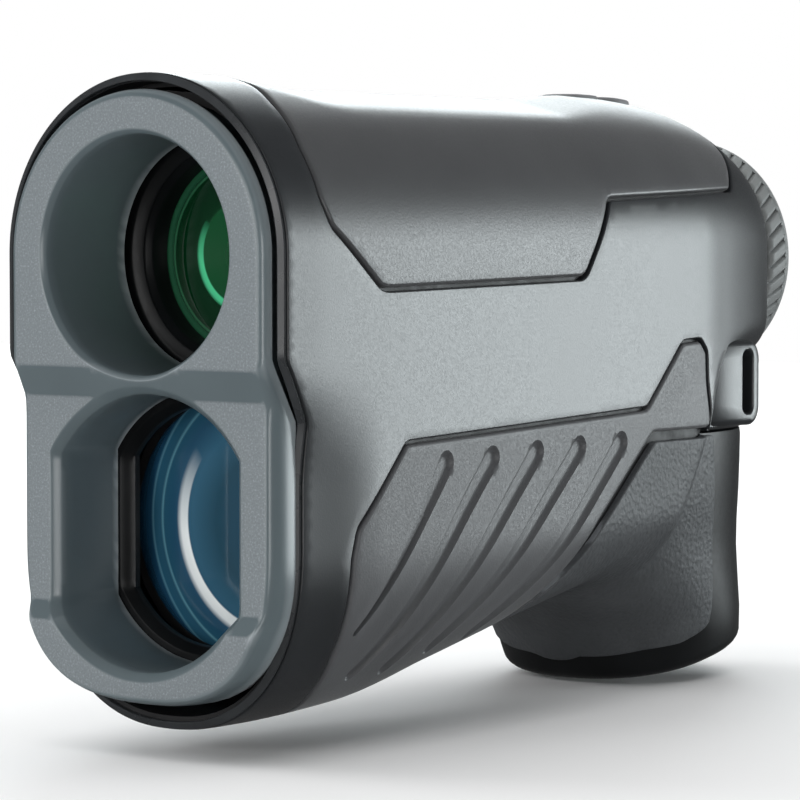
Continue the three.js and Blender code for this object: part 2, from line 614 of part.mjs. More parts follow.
part('pod_core', largest(podCore()), 0x0e0f10, 0.25);
part('battery_liner', onPodAxis(tube(8.2, 9.3, 4.9, 32.8, 'z', UPRIGHT)), 0x2b2c2e, 0.6);
part('battery_cell', onPodAxis(batteryCell()), 0xc8a24a, 0.3, 0.6);
part('positive_contact', onPodAxis(tube(0, 5, 33.1, 33.7, 'z', UPRIGHT)), 0xc9b26a, 0.3, 0.9);
part('contact_spring', onPodAxis(helix(3.6, 4.6, 5.3, 2, 0.14)), 0xc9c9c4, 0.25, 0.95);
part('cap_seal', onPodAxis(tube(9.5, 10.35, CAP_TOP - 1.4, CAP_TOP - 0.2, 'z', UPRIGHT, 28)), 0x1d1d1f, 0.8);
part('cap_plug', onPodAxis(tube(0, 9.2, 2.1, CAP_TOP - 0.1, 'z', UPRIGHT, 28)), 0x2a2b2d, 0.5);
part('cap_knob', onPodAxis(capKnob()), 0x151618, 0.4);

// ---------------------------------------------------------------- lanyard lug

const LUG = { inner: 17.2, outer: 19.3, front: 29.6, rear: 41.6, low: 31.2, high: 42.2 };

function lanyardLug() {
  const { inner, outer, front, rear, low, high } = LUG;
  const plate = prismX([
    [front, low - 0.2], [rear - 3.4, low], [rear, low + 1.6], [rear, high - 1.2], [rear - 1.2, high], [front, high],
  ], inner, outer);
  return plate.subtract(box(inner - 1, outer + 1, 37.1, 39.3, 32.8, 40.9)).subtract(body(-0.15)).subtract(pod(-0.15));
}

part('lanyard_lug', largest(lanyardLug()), 0x4a4e52, 0.4, 0.5);

group.position.z = POD_DROP;

export default group;
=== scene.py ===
# Looks for the handheld laser rangefinder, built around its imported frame.
# Shapes are worked out in millimetres, with heights from the underside of the front rim, as in the
# part's own drawing, and become metres in the frame when a mesh is made.

import math

import bmesh
import bpy
import numpy as np
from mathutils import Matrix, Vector
from mathutils.geometry import delaunay_2d_cdt


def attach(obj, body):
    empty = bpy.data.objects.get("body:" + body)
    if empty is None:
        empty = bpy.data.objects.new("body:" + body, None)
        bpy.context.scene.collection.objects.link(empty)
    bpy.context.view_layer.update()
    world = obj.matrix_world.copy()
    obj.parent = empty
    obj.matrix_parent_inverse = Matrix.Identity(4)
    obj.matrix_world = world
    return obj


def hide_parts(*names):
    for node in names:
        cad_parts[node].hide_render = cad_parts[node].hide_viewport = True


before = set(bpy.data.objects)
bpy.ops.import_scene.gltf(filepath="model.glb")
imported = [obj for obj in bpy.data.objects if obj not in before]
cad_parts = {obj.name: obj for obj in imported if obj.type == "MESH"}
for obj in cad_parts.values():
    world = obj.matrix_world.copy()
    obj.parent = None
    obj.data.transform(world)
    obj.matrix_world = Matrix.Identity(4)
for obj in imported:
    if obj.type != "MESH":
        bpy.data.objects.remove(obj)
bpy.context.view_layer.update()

MM = 0.001
LIFT = 2.2  # the pod reaches this far below the front rim
WELD = 0.000002

# ---------- driving dimensions

SIGHT_HEIGHT = 53.8
RECEIVER_HEIGHT = 22.8
EYE_HEIGHT = 52.8
BODY_REAR = 50.4
EDGE_HIGH, EDGE_LOW = -57.3, -53.2  # front edge of the casing, above and below the face's step
EDGE_STEP_TOP, EDGE_STEP_BOTTOM = 42.4, 35.6
FACE_FRONT = -59.3
FACE_STEP, LIP_STEP = 1.7, 1.2
SIGHT_BACK, WINDOW_BACK = -45.4, -47.1
LOW_CENTRE = 22.0
BELLY_POWER = 2.3
TOE_IN = 1.5  # the sides draw in this much at the front, below the face's step
POD_POWER = 2.3
POD_SPLIT = 30.8
POD_BASE_Y, POD_BASE_Z, POD_BASE_SLOPE = 39.0, 0.45, 0.18

# y, half-width, rise above the sight axis, belly height
BODY_STATIONS = np.array([
    (-57.2, 20.2, 20.2, 0.6), (-50, 20.4, 20.2, 0.4), (-34, 20.5, 20.2, 1.1), (-20, 20.5, 20.2, 3.9),
    (-5, 20.4, 20.2, 7.2), (10, 20.3, 20.2, 10.4), (20, 20.2, 20.1, 12.6), (28, 20, 19.8, 24),
    (34, 19.4, 19.4, 34), (40, 18.5, 18.6, 36), (46, 17.2, 17.1, 37), (50.5, 15.7, 15.3, 37.5),
])

# z, half-width, front, rear
POD_STATIONS = np.array([
    (-5, 14.9, 25, 53.4), (0, 15.3, 24, 53.7), (5, 16.1, 21.6, 54), (10, 16.7, 15, 54), (16, 17.2, 8, 54),
    (24, 18.2, 4, 54), (30.8, 18.4, 6, 53.6), (33.4, 18.2, 10, 52.6), (36, 17.4, 14, 50), (38.6, 16, 20, 48),
])

ROOF_RIDGE, ROOF_SLOPE = 72.8, 0.235
ROOF_FRONT, ROOF_FRONT_RISE = -37.0, 0.15
ROOF_REAR, ROOF_REAR_RISE, ROOF_REAR_LEAN = 12.0, 0.1, 0.25

# Side-view outlines of the soft panels, as (y, z).
COVER_OUTLINE = [
    (-44.5, 76), (-48.7, 70.7), (-50.4, 65.4), (-50.4, 60), (-49.3, 57), (-40.8, 50.2), (-39.5, 49.9),
    (-0.5, 50.7), (0.5, 51.2), (6.9, 60.3), (38.7, 61.6), (44, 66), (48, 71), (49, 76),
]
GRIP_OUTLINE = [
    (-41, -2), (-44.7, 4.6), (-45.6, 9), (-45.4, 20.1), (-44.6, 23.4), (-36, 32.6), (14, 34.4), (22.4, 42.4),
    (26.8, 42.6), (28.4, 41), (29, 31.2), (15.5, 31.2), (13.6, 29.6), (3.6, 21.2), (-3, 14.3), (-8.5, 8.7),
    (-9.5, -2),
]
POD_PAD_OUTLINE = [
    (-8.4, -2), (-7.6, 8.4), (-2.2, 13.9), (4.4, 20.8), (14.4, 29.2), (16, 30.4), (33, 30.4), (36, 6.6),
    (35.6, 5.2), (34, 4.2), (31, 2.9), (27, 2.2), (24.7, 1.3), (23.3, 1),
]
# Front edge of the hard casing, which steps back beside the face's step.
CASING_EDGE = [
    (EDGE_HIGH, 76), (EDGE_HIGH, EDGE_STEP_TOP), (EDGE_LOW, EDGE_STEP_BOTTOM), (EDGE_LOW, -2),
]
POD_OUTLINE = [(-9.5, -2), (-8.5, 8.7), (-3, 14.3), (3.6, 21.2), (13.6, 29.6), (15.5, 30.8), (60, 30.8)]

# Five flutes in each grip: top end, bend and low end as (y, z), then half-widths at the two ends.
FLUTES = [
    ((-28.5, 30.0), (-34.1, 22.5), (-43.2, 11.5), 1.45, 0.3),
    ((-19.4, 30.1), (-28.3, 21.4), (-39.6, 6.6), 1.45, 1.0),
    ((-10.2, 30.3), (-22.4, 18.8), (-33.0, 6.6), 1.45, 1.0),
    ((-1.1, 30.4), (-14.0, 19.0), (-25.0, 8.2), 1.45, 1.0),
    ((8.1, 30.5), (-4.3, 18.7), (-16.0, 9.0), 1.45, 1.0),
]
FLUTE_DEPTH = 0.6

# Buttons on the ridge: middle along Y, length, width.
BUTTONS = [(26.6, 7.4, 6.6), (34.6, 6.2, 6.2)]
BUTTON_BASE = 70.6

SEAM = 0.22  # each panel stands this far back from its outline, and so does the shell
PANEL_THICK = 1.0
ARC = 26.0  # section angle times this is about the distance round the section


# ---------- smooth outer form


def monotone(table, key):
    """Monotone cubic interpolation of every column of a table against its first one."""
    x, values = table[:, 0], table[:, 1:]
    step = np.diff(x)[:, None]
    slope = np.diff(values, axis=0) / step
    tangent = np.zeros_like(values)
    same = slope[:-1] * slope[1:] > 0
    weight = step[1:] + step[:-1]
    harmonic = 3 * weight / ((step[1:] + weight) / np.where(same, slope[:-1], 1)
                             + (step[:-1] + weight) / np.where(same, slope[1:], 1))
    tangent[1:-1] = np.where(same, harmonic, 0)
    tangent[0], tangent[-1] = slope[0], slope[-1]
    key = np.clip(key, x[0], x[-1])
    i = np.clip(np.searchsorted(x, key) - 1, 0, len(x) - 2)
    h = step[i, 0]
    t = (key - x[i]) / h
    t, h = t[:, None], h[:, None]
    return ((2 * t**3 - 3 * t**2 + 1) * values[i] + (t**3 - 2 * t**2 + t) * h * tangent[i]
            + (3 * t**2 - 2 * t**3) * values[i + 1] + (t**3 - t**2) * h * tangent[i + 1]).T


def smooth_max(a, b, reach):
    """The larger of two fields, rounded over where they are within reach of each other."""
    mix = np.clip(0.5 + 0.5 * (a - b) / reach, 0, 1)
    return b * (1 - mix) + a * mix + reach * mix * (1 - mix)


def ease(value, low, high):
    t = np.clip((value - low) / (high - low), 0, 1)
    return t * t * (3 - 2 * t)


def roof_height(x, y):
    side = np.sqrt(x * x + 4) - 2
    rise = ROOF_FRONT_RISE * smooth_max(ROOF_FRONT - y, 0 * y, 4)
    rise += ROOF_REAR_RISE * smooth_max(y + ROOF_REAR_LEAN * np.abs(x) - ROOF_REAR, 0 * y, 1)
    return ROOF_RIDGE - ROOF_SLOPE * side + rise


def body_field(x, y, z):
    """Negative inside the body, about one per millimetre near its surface."""
    half, rise, bottom = monotone(BODY_STATIONS, y)
    half = half - TOE_IN * ease(-y, 40, 56) * ease(42 - z, 0, 14)
    low = np.maximum(LOW_CENTRE, bottom + 8)
    side = np.abs(x) / half
    above = np.clip((z - SIGHT_HEIGHT) / rise, 0, None)
    below = np.clip((low - z) / (low - bottom), 0, None)
    upper = np.sqrt(side**2 + above**2)
    lower = (side**BELLY_POWER + below**BELLY_POWER) ** (1 / BELLY_POWER)
    sides = (np.where(z > SIGHT_HEIGHT, upper, lower) - 1) * 19
    return smooth_max(sides, z - roof_height(x, y), 0.45)


def pod_field(x, y, z):
    half, front, rear = monotone(POD_STATIONS, z)
    middle, reach = (front + rear) / 2, (rear - front) / 2
    ring = (np.abs(x) / half) ** POD_POWER + (np.abs(y - middle) / reach) ** POD_POWER
    sides = (ring ** (1 / POD_POWER) - 1) * 17
    base = (POD_BASE_Z + POD_BASE_SLOPE * (y - POD_BASE_Y) - z) / math.hypot(1, POD_BASE_SLOPE)
    return smooth_max(smooth_max(sides, base, 0.2), z - 38.6, 0.5)


def joined_field(x, y, z):
    """Body and pod with a soft valley between them."""
    return -smooth_max(-body_field(x, y, z), -pod_field(x, y, z), 4)


def axis_height(y):
    """Height of the line that section angles are measured about."""
    return 40 + 13 * ease(y, 14, 46)


def halve(inside, low, high, rounds):
    """Where a form ends between two distances, the lower of them inside it."""
    for _ in range(rounds):
        middle = (low + high) / 2
        hit = inside(middle)
        low, high = np.where(hit, middle, low), np.where(hit, high, middle)
    return low


def outermost(inside, steps, count, rounds):
    """Largest distance that lies inside a form, and where there is one."""
    low, found = np.full(count, steps[-1]), np.zeros(count, bool)
    for step in steps:
        hit = inside(step)
        low[hit & ~found] = step
        found |= hit
    return halve(inside, low, low + steps[0] - steps[1], rounds), found


def skin_point(field, y, angle):
    """Outermost point of a field along rays from the section axis."""
    across, up, y = np.broadcast_arrays(np.sin(angle), np.cos(angle), y)
    centre = axis_height(y)
    steps = np.linspace(62, 2, 61)
    reach, _ = outermost(lambda r: field(across * r, y, centre + up * r) < 0, steps, len(y), 14)
    return np.stack([across * reach, y, centre + up * reach], -1)


def normals(field, points):
    grad = [field(*(points + step).T) - field(*(points - step).T) for step in 0.02 * np.eye(3)]
    grad = np.stack(grad, -1)
    return grad / np.linalg.norm(grad, axis=1)[:, None]


# ---------- meshes


def add_piece(name, shape, finish, slot, nodes=(), body="housing", sharp=50):
    """Makes a piece from points in millimetres and faces, and puts it on a body in place of CAD nodes."""
    points, faces = shape
    mesh = bpy.data.meshes.new(name)
    rows = [(x * MM, y * MM, (z + LIFT) * MM) for x, y, z in points]
    mesh.from_pydata(rows, [], [tuple(int(i) for i in face) for face in faces])
    work = bmesh.new()
    work.from_mesh(mesh)
    bmesh.ops.remove_doubles(work, verts=work.verts, dist=WELD)
    bmesh.ops.recalc_face_normals(work, faces=work.faces)
    work.to_mesh(mesh)
    work.free()
    mesh.validate()
    mesh.shade_smooth()
    mesh.set_sharp_from_angle(angle=math.radians(sharp))
    mesh.materials.append(finish)
    piece = bpy.data.objects.new(name, mesh)
    bpy.context.scene.collection.objects.link(piece)
    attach(piece, body)
    if nodes:
        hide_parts(*nodes)


def thicken(points, inward, faces):
    """Closes an open sheet with a second layer below it and a wall along every free edge."""
    count = len(points)
    faces = [tuple(int(i) for i in face) for face in faces]
    edges = dict.fromkeys(edge for face in faces for edge in zip(face, face[1:] + face[:1]))
    walls = [(j, i, i + count, j + count) for i, j in edges if (j, i) not in edges]
    under = [tuple(i + count for i in face[::-1]) for face in faces]
    return np.vstack([points, points + inward]), faces + under + walls


def loft(rings, closed_ends=True):
    """Joins rings of equal length into a skin, with a fan over each end when asked."""
    count = len(rings[0])
    points = np.vstack(rings)
    last = len(points) - count
    faces = []
    for low in range(0, last, count):
        for i in range(low, low + count):
            j = low + (i + 1 - low) % count
            faces.append((i, j, j + count, i + count))
    if closed_ends:
        faces += [(last + count, (i + 1) % count, i) for i in range(count)]
        faces += [(last + count + 1, last + i, last + (i + 1) % count) for i in range(count)]
        points = np.vstack([points, rings[0].mean(axis=0), rings[-1].mean(axis=0)])
    return points, faces


def hoop(rings):
    """Joins rings into a skin whose last ring meets the first again."""
    points, faces = loft([*rings, rings[0]], closed_ends=False)
    last = len(rings) * len(rings[0])
    return points[:last], [tuple(i % last for i in face) for face in faces]


def circle(count):
    return np.arange(count) * (2 * math.pi / count)


def round_ring(radius, y, height, angles):
    """Points at a radius about a line along Y."""
    return np.stack(np.broadcast_arrays(radius * np.sin(angles), y, height + radius * np.cos(angles)), -1)


def turned(profile, height, sides=96):
    """Rings of a turned part: profile rows are (radius, distance along Y)."""
    return [round_ring(radius, y, height, circle(sides)) for radius, y in profile]


def superellipse(long, wide, count):
    """Rounded oblong as x and y."""
    c, s = np.cos(circle(count)), np.sin(circle(count))
    return wide / 2 * np.sign(s) * np.abs(s) ** 0.8, long / 2 * np.sign(c) * np.abs(c) ** 0.8


# ---------- outlines on the skin


def round_corners(outline, radius):
    """An open outline with each inner corner replaced by a short curve."""
    outline = [np.array(p, float) for p in outline]
    result = [outline[0]]
    for before, corner, after in zip(outline, outline[1:], outline[2:]):
        to_before, to_after = before - corner, after - corner
        near, far = np.linalg.norm(to_before), np.linalg.norm(to_after)
        half_angle = math.acos(np.clip(to_before @ to_after / (near * far), -1, 1)) / 2
        cut = min(radius / math.tan(half_angle), 0.45 * near, 0.45 * far)
        start, end = corner + to_before / near * cut, corner + to_after / far * cut
        for t in np.linspace(0, 1, 7):
            result.append((1 - t) ** 2 * start + 2 * t * (1 - t) * corner + t * t * end)
    result.append(outline[-1])
    return np.array(result)


def walk(points, step, closed=False):
    """Points at even steps along a polyline."""
    points = np.vstack([points, points[:1]]) if closed else np.asarray(points)
    lengths = np.concatenate([[0], np.cumsum(np.linalg.norm(np.diff(points, axis=0), axis=1))])
    count = max(2, int(round(lengths[-1] / step)))
    marks = np.linspace(0, lengths[-1], count + 1)
    even = np.stack([np.interp(marks, lengths, column) for column in points.T], -1)
    return even[:-1] if closed else even


def onto_side(side_points):
    """Domain points (y, angle times ARC) of side-view points, dropping those that miss the skin."""
    y, z = side_points.T
    steps = np.linspace(24, 0.1, 121)
    x, found = outermost(lambda x: joined_field(x, y, z) < 0, steps, len(y), 12)
    return np.stack([y, np.arctan2(x, z - axis_height(y)) * ARC], -1)[found]


def offset(loop, distance):
    """A domain loop moved sideways along the skin; positive is to its left as seen from outside."""
    points = skin_point(joined_field, loop[:, 0], loop[:, 1] / ARC)
    tangent = np.roll(points, -1, 0) - np.roll(points, 1, 0)
    tangent /= np.linalg.norm(tangent, axis=1)[:, None] + 1e-9
    x, y, z = (points + np.cross(normals(joined_field, points), tangent) * distance).T
    angle = np.arctan2(x, z - axis_height(y)) * ARC
    turn = 2 * math.pi * ARC
    return np.stack([y, angle + turn * np.round((loop[:, 1] - angle) / turn)], -1)


def inside_loop(points, loop):
    """Even-odd test of points against a closed loop."""
    x, y = points.T
    inside = np.zeros(len(points), bool)
    for (ax, ay), (bx, by) in zip(loop, np.roll(loop, -1, 0)):
        if ay == by:
            continue
        crosses = (ay > y) != (by > y)
        inside ^= crosses & (x < (bx - ax) * (y - ay) / (by - ay) + ax)
    return inside


def clearance(points, lines):
    """Distance from each point to the nearest point of several dense lines."""
    dense = np.vstack(lines)
    parts = np.array_split(points, len(points) // 500 + 1)
    return np.concatenate([np.sqrt(((part[:, None] - dense) ** 2).sum(-1)).min(1) for part in parts])


def hex_grid(low, high, spacing):
    rows = []
    for k, v in enumerate(np.arange(low[1], high[1], spacing * 0.866)):
        u = np.arange(low[0] + (k % 2) * spacing / 2, high[0], spacing)
        rows.append(np.stack([u, np.full(len(u), v)], -1))
    return np.vstack(rows)


def triangulate(rows, grid, keep, gap):
    """Triangles over (line, depth, closed) rows and the grid points further than a gap from them.
    Returns points, depths and the faces that keep() accepts."""
    grid = grid[clearance(grid, [row[0] for row in rows]) > gap]
    inputs, depths, edges = [], [], []
    for line, depth, closed in rows:
        start, count = len(inputs), len(line)
        inputs.extend(line)
        depths.extend([depth] * count)
        edges.extend((start + i, start + (i + 1) % count) for i in range(count - (not closed)))
    inputs.extend(grid)
    depths.extend([0.0] * len(grid))
    made = delaunay_2d_cdt([Vector(p) for p in inputs], edges, [], 0, 1e-5)
    points, known, depths = np.array([tuple(v) for v in made[0]]), np.array(inputs), np.array(depths)
    source = [origin[0] if origin else ((known - point) ** 2).sum(1).argmin()
              for origin, point in zip(made[3], points)]
    faces = np.array([list(f) for f in made[2]])
    faces = faces[keep(points[faces].mean(axis=1))]
    used = np.unique(faces)
    faces = np.searchsorted(used, faces)
    points, depth = points[used], depths[source][used]
    a, b, c = (points[faces[:, k]] for k in range(3))
    area = (b[:, 0] - a[:, 0]) * (c[:, 1] - a[:, 1]) - (b[:, 1] - a[:, 1]) * (c[:, 0] - a[:, 0])
    faces[area < 0] = faces[area < 0][:, ::-1]
    return points, depth, faces


def raise_patch(points, depth, faces):
    """Lifts a flat patch onto the skin, sinks it by its depths and gives it thickness."""
    skin = skin_point(joined_field, points[:, 0], points[:, 1] / ARC)
    out, depth = normals(joined_field, skin), depth[:, None]
    return thicken(skin - out * depth, -out * (PANEL_THICK - depth), faces)


def edge_rings(radius):
    """Distances in from an edge and depths below the surface that round it over."""
    angles = np.radians([0, 22, 45, 68, 90])
    return [(radius * (1 - math.cos(t)), radius * (1 - math.sin(t))) for t in angles]


def orientation(loop):
    """+1 when the inside of a loop lies to its left, seen from outside."""
    return 1 if inside_loop(offset(loop, 0.2), loop).mean() > 0.5 else -1


def rounded_edge(loop, side, radius):
    """Rows that take a panel round over its edge, a seam's width to one side of a loop."""
    return [(offset(loop, side * (SEAM + gap)), depth, True) for gap, depth in edge_rings(radius)]


def soft_panel(loop, spacing, radius, features=()):
    """A panel that fills a domain loop, with rounded edges. Each feature is a list of nested
    (line, depth, closed) rows, outermost first."""
    loop = walk(loop, 0.7, closed=True)
    rows = rounded_edge(loop, orientation(loop), radius)
    outer, inner = rows[0][0], rows[-1][0]
    grid = hex_grid(loop.min(0), loop.max(0), spacing)
    grid = grid[inside_loop(grid, inner)]
    for feature in features:
        rows.extend(feature)
        grid = grid[~inside_loop(grid, feature[0][0])]
    return raise_patch(*triangulate(rows, grid, lambda centres: inside_loop(centres, outer), spacing * 0.5))


# ---------- casing


BELLY = math.pi * ARC  # domain coordinate of the belly's centre line
HOLE_FRONT = FACE_FRONT - 5  # how far ahead of the casing its front hole reaches


def mirrored(points, faces):
    return points * (-1, 1, 1), [tuple(face[::-1]) for face in faces]


def side_chain(outline, end, radius=1.2):
    """A side outline as a domain chain that runs on to the centre line at both ends."""
    chain = onto_side(walk(round_corners(outline, radius), 0.3))
    return np.vstack([[(chain[0, 0], end)], chain, [(chain[-1, 0], end)]])


def casing_holes():
    """Domain loops of what the hard casing leaves free: its front, the soft panels and the pod."""
    edge = onto_side(walk(round_corners(CASING_EDGE, 1.5), 0.4))
    top, bottom = (edge[0, 0], -3), (edge[-1, 0], BELLY + 3)
    loops = [np.vstack([[top], edge, [bottom, (HOLE_FRONT, BELLY + 3), (HOLE_FRONT, -3)]])]
    for outline, end, beyond in ((COVER_OUTLINE, 0, -3), (GRIP_OUTLINE, BELLY, 3), (POD_OUTLINE, BELLY, 3)):
        chain = side_chain(outline, end)
        if outline is POD_OUTLINE:
            chain = np.vstack([chain[:-1], [(BODY_REAR + 4, chain[-2, 1]), (BODY_REAR + 4, end)]])
        loops.append(np.vstack([chain, [(chain[-1, 0], end + beyond), (chain[0, 0], end + beyond)]]))
    return [walk(loop, 0.7, closed=True) for loop in loops]


def shell_half():
    """Left half of the hard casing: everything the soft panels and the pod leave free."""
    borders = [rounded_edge(hole, -orientation(hole), 0.22) for hole in casing_holes()]
    edges = [border[0][0] for border in borders]
    rows = sum(borders, [])
    across = np.linspace(0, BELLY, 90)
    for gap, depth in edge_rings(0.8):
        rows.append((np.stack([np.full(90, BODY_REAR - gap), across], -1), depth, False))
    for a in (0, BELLY):
        rows.append((np.stack([np.linspace(EDGE_HIGH, BODY_REAR, 110), np.full(110, a)], -1), 0, False))

    def clear(points):
        return ~np.any([inside_loop(points, edge) for edge in edges], axis=0)

    def keep(centres):
        y, a = centres.T
        return clear(centres) & (a > 0) & (a < BELLY) & (y > HOLE_FRONT + 1) & (y < BODY_REAR)

    grid = hex_grid((EDGE_HIGH, 0.5), (BODY_REAR, BELLY), 1.1)
    return raise_patch(*triangulate(rows, grid[clear(grid)], keep, 0.6))


def cover_patch():
    chain = side_chain(COVER_OUTLINE, 0)[1:-1]
    wells = [button_well(*button) for button in BUTTONS]
    return soft_panel(np.vstack([chain, chain[::-1] * (1, -1)]), 0.9, 0.45, wells)


def button_well(centre, long, wide):
    """Oblong well in the cover round one button."""
    return [(oblong(centre, long + 2 * grow, wide + 2 * grow), depth, True) for grow, depth in (
        (0.5, 0.0), (0.42, 0.12), (0.36, 0.45), (0.34, 0.9), (-0.6, 0.9))]


def oblong(centre, long, wide):
    """Round-ended outline about (y, x) = (centre, 0) as domain points near the roof."""
    x, y = superellipse(long, wide, 48)
    y = centre + y
    return np.stack([y, np.arctan2(x, roof_height(x, y) - axis_height(y)) * ARC], -1)


def flute(top, bend, low, wide_top, wide_low):
    """Nested outlines of one flute: its edge, its flank, its floor and its centre line."""
    t = np.linspace(0, 1, 60)[:, None]
    centre = (1 - t) ** 2 * np.array(top) + 2 * t * (1 - t) * np.array(bend) + t * t * np.array(low)
    along = np.gradient(centre, axis=0)
    along /= np.linalg.norm(along, axis=1)[:, None]
    aside = np.stack([-along[:, 1], along[:, 0]], -1)
    width = wide_top + (wide_low - wide_top) * t
    caps = np.radians(np.linspace(15, 165, 9))[:, None]
    far = wide_low * (np.sin(caps) * along[-1] + np.cos(caps) * aside[-1])
    near = -wide_top * (np.sin(caps) * along[0] + np.cos(caps) * aside[0])
    rows = []
    for share, depth in ((1.0, 0.0), (0.86, 0.4), (0.64, 0.95), (0.32, 1.0)):
        outline = np.vstack([centre + aside * width * share, centre[-1] + share * far,
                             (centre - aside * width * share)[::-1], centre[0] + share * near])
        rows.append((onto_side(walk(outline, 0.55, closed=True)), depth * FLUTE_DEPTH, True))
    rows.append((onto_side(walk(centre, 0.55)), FLUTE_DEPTH, False))
    return rows


def grip_patch():
    return soft_panel(side_chain(GRIP_OUTLINE, BELLY - 0.2), 0.75, 0.45, [flute(*row) for row in FLUTES])


def pod_pad_patch():
    """The pod's wrap-round panel, from one rear edge across the front to the other."""
    chain = side_chain(POD_PAD_OUTLINE, BELLY)[1:-1]
    other = np.stack([chain[:, 0], 2 * BELLY - chain[:, 1]], -1)[::-1]
    return soft_panel(np.vstack([chain, other]), 0.8, 0.22)


def inside_skin(y, angles, depth):
    """Ring round the body, this far under its skin."""
    skin = skin_point(body_field, y, angles)
    return skin - normals(body_field, skin) * (depth, 0, depth)


def inner_tube():
    """Dark lining just under the panels, seen only through the seams."""
    ys = [EDGE_LOW + 0.1, *np.linspace(-52, 50, 86), BODY_REAR - 0.2]
    return hoop([inside_skin(y, circle(140), 0.85) for y in ys]
                + [inside_skin(y, circle(140), 1.5) for y in ys[::-1]])


# ---------- pod


POD_TILT = math.atan(POD_BASE_SLOPE)
POD_SIDES = 144
POD_ANGLES = circle(POD_SIDES)
POD_PROUD, POD_ROUNDING = 0.35, 1.7  # how far the panels stand out from the moulding; its lower edge
BAY_RADIUS, BAY_DEPTH, CAP_SEAT_RADIUS, CAP_SEAT_DEPTH = 9.6, 31, 11.35, 4.6
LUG_WAY_RADIUS, LUG_WAY_HALF_ANGLE, LUG_ROOM_LOW, LUG_ROOM_HIGH = 12.4, 0.46, 2.3, 4.1


def on_pod_axis(radius, height):
    """Ring about the pod's leaning axis, at a height above its base."""
    c, s = math.cos(POD_TILT), math.sin(POD_TILT)
    x, v = radius * np.cos(POD_ANGLES), radius * np.sin(POD_ANGLES)
    return np.stack([x, POD_BASE_Y + v * c - height * s, POD_BASE_Z + v * s + height * c], -1)


def pod_ring(share, inset, lift=0.0, top=POD_SPLIT - 0.3):
    """Outline of the pod part-way from its sloping base (0) to a level top (1)."""
    power = 2 / POD_POWER
    c, s = np.cos(POD_ANGLES), np.sin(POD_ANGLES)
    z = np.full(POD_SIDES, 15.0)
    for _ in range(8):
        half, front, rear = monotone(POD_STATIONS, z)
        x = (half - inset) * np.sign(c) * np.abs(c) ** power
        middle, reach = (front + rear) / 2, (rear - front) / 2 - inset
        y = middle + reach * np.sign(s) * np.abs(s) ** power
        base = POD_BASE_Z + POD_BASE_SLOPE * (y - POD_BASE_Y) + lift
        z = base + share * (top - base)
    return np.stack([x, y, z], -1)


def pod_core():
    """Black pod moulding with the battery bay and the cap's bayonet seat."""
    turn = POD_ANGLES % math.pi
    seat = np.where(np.minimum(turn, math.pi - turn) < LUG_WAY_HALF_ANGLE, LUG_WAY_RADIUS, CAP_SEAT_RADIUS)
    rings = [on_pod_axis(radius, height) for radius, height in (
        (0.5, BAY_DEPTH), (BAY_RADIUS, BAY_DEPTH), (BAY_RADIUS, CAP_SEAT_DEPTH),
        (CAP_SEAT_RADIUS, CAP_SEAT_DEPTH), (CAP_SEAT_RADIUS, LUG_ROOM_HIGH + 0.02),
        (LUG_WAY_RADIUS, LUG_ROOM_HIGH), (LUG_WAY_RADIUS, LUG_ROOM_LOW), (seat, LUG_ROOM_LOW - 0.02),
        (seat, 0.3), (seat + 0.3, 0))]
    for t in np.radians([90, 72, 54, 36, 18, 0]):
        round_in, round_up = POD_ROUNDING * (1 - math.cos(t)), POD_ROUNDING * (1 - math.sin(t))
        rings.append(pod_ring(0, POD_PROUD + round_in, round_up, 0))
    for share in (0.12, 0.2, 0.3, 0.42, 0.55, 0.7, 0.85, 0.97):
        rings.append(pod_ring(share, POD_PROUD, POD_ROUNDING))
    rings.append(pod_ring(1, POD_PROUD + 0.1, top=POD_SPLIT - 0.35))
    return loft(rings + [pod_ring(1, POD_PROUD + 0.3), pod_ring(1, POD_PROUD + 5)])


def pod_saddle():
    """Where the casing meets the pod, behind the neck."""
    return loft([pod_ring(1, inset, top=top) for inset, top in (
        (5, POD_SPLIT), (0.3, POD_SPLIT), (0.1, 31.0), (0.06, 32.2), (0.06, 33.4), (0.06, 34.8), (0.06, 36),
        (0.06, 37.4), (0.35, 38.2), (0.9, 38.5), (4, 38.6))])


# ---------- front


BEZEL_CENTRE = 38.0
BEZEL_HALF = 18.0
BEZEL_SIDES = 240
APERTURE_RADIUS = 13.4
WINDOW_RADIUS, WINDOW_HALF = 15.5, 13.0


def bezel_level(x, z, grow, power):
    """Zero on the bezel's outline, which is a round arch above and a superellipse below."""
    half = BEZEL_HALF + grow
    above = np.clip((z - SIGHT_HEIGHT) / (half - 0.2), 0, None)
    below = np.clip((LOW_CENTRE - z) / half, 0, None)
    side = np.abs(x) / half
    upper = np.sqrt(side**2 + above**2)
    lower = (side**power + below**power) ** (1 / power)
    return np.where(z > SIGHT_HEIGHT, upper, lower) - 1


def radial(level, angles):
    """Points of an outline at angles about the bezel's middle, found along rays."""
    across, up = np.sin(angles), np.cos(angles)
    reach = halve(lambda r: level(r * across, BEZEL_CENTRE + r * up) < 0, 2.0, 60.0, 40)
    return reach * across, BEZEL_CENTRE + reach * up


def bezel_angles():
    """Angles that space points evenly along the outline."""
    dense = np.linspace(0, 2 * math.pi, 2001)
    x, z = radial(lambda x, z: bezel_level(x, z, 0, 2.5), dense)
    length = np.concatenate([[0], np.cumsum(np.hypot(np.diff(x), np.diff(z)))])
    return np.interp(np.arange(BEZEL_SIDES) / BEZEL_SIDES * length[-1], length, dense)


BEZEL_ANGLES = bezel_angles()
FACE_CREASES = FACE_TOP, FACE_DIP, LIP_TOP, LIP_BOTTOM = 41.4, 37.7, 14.6, 12.4
BACK_CREASES = 39.7, 38.7


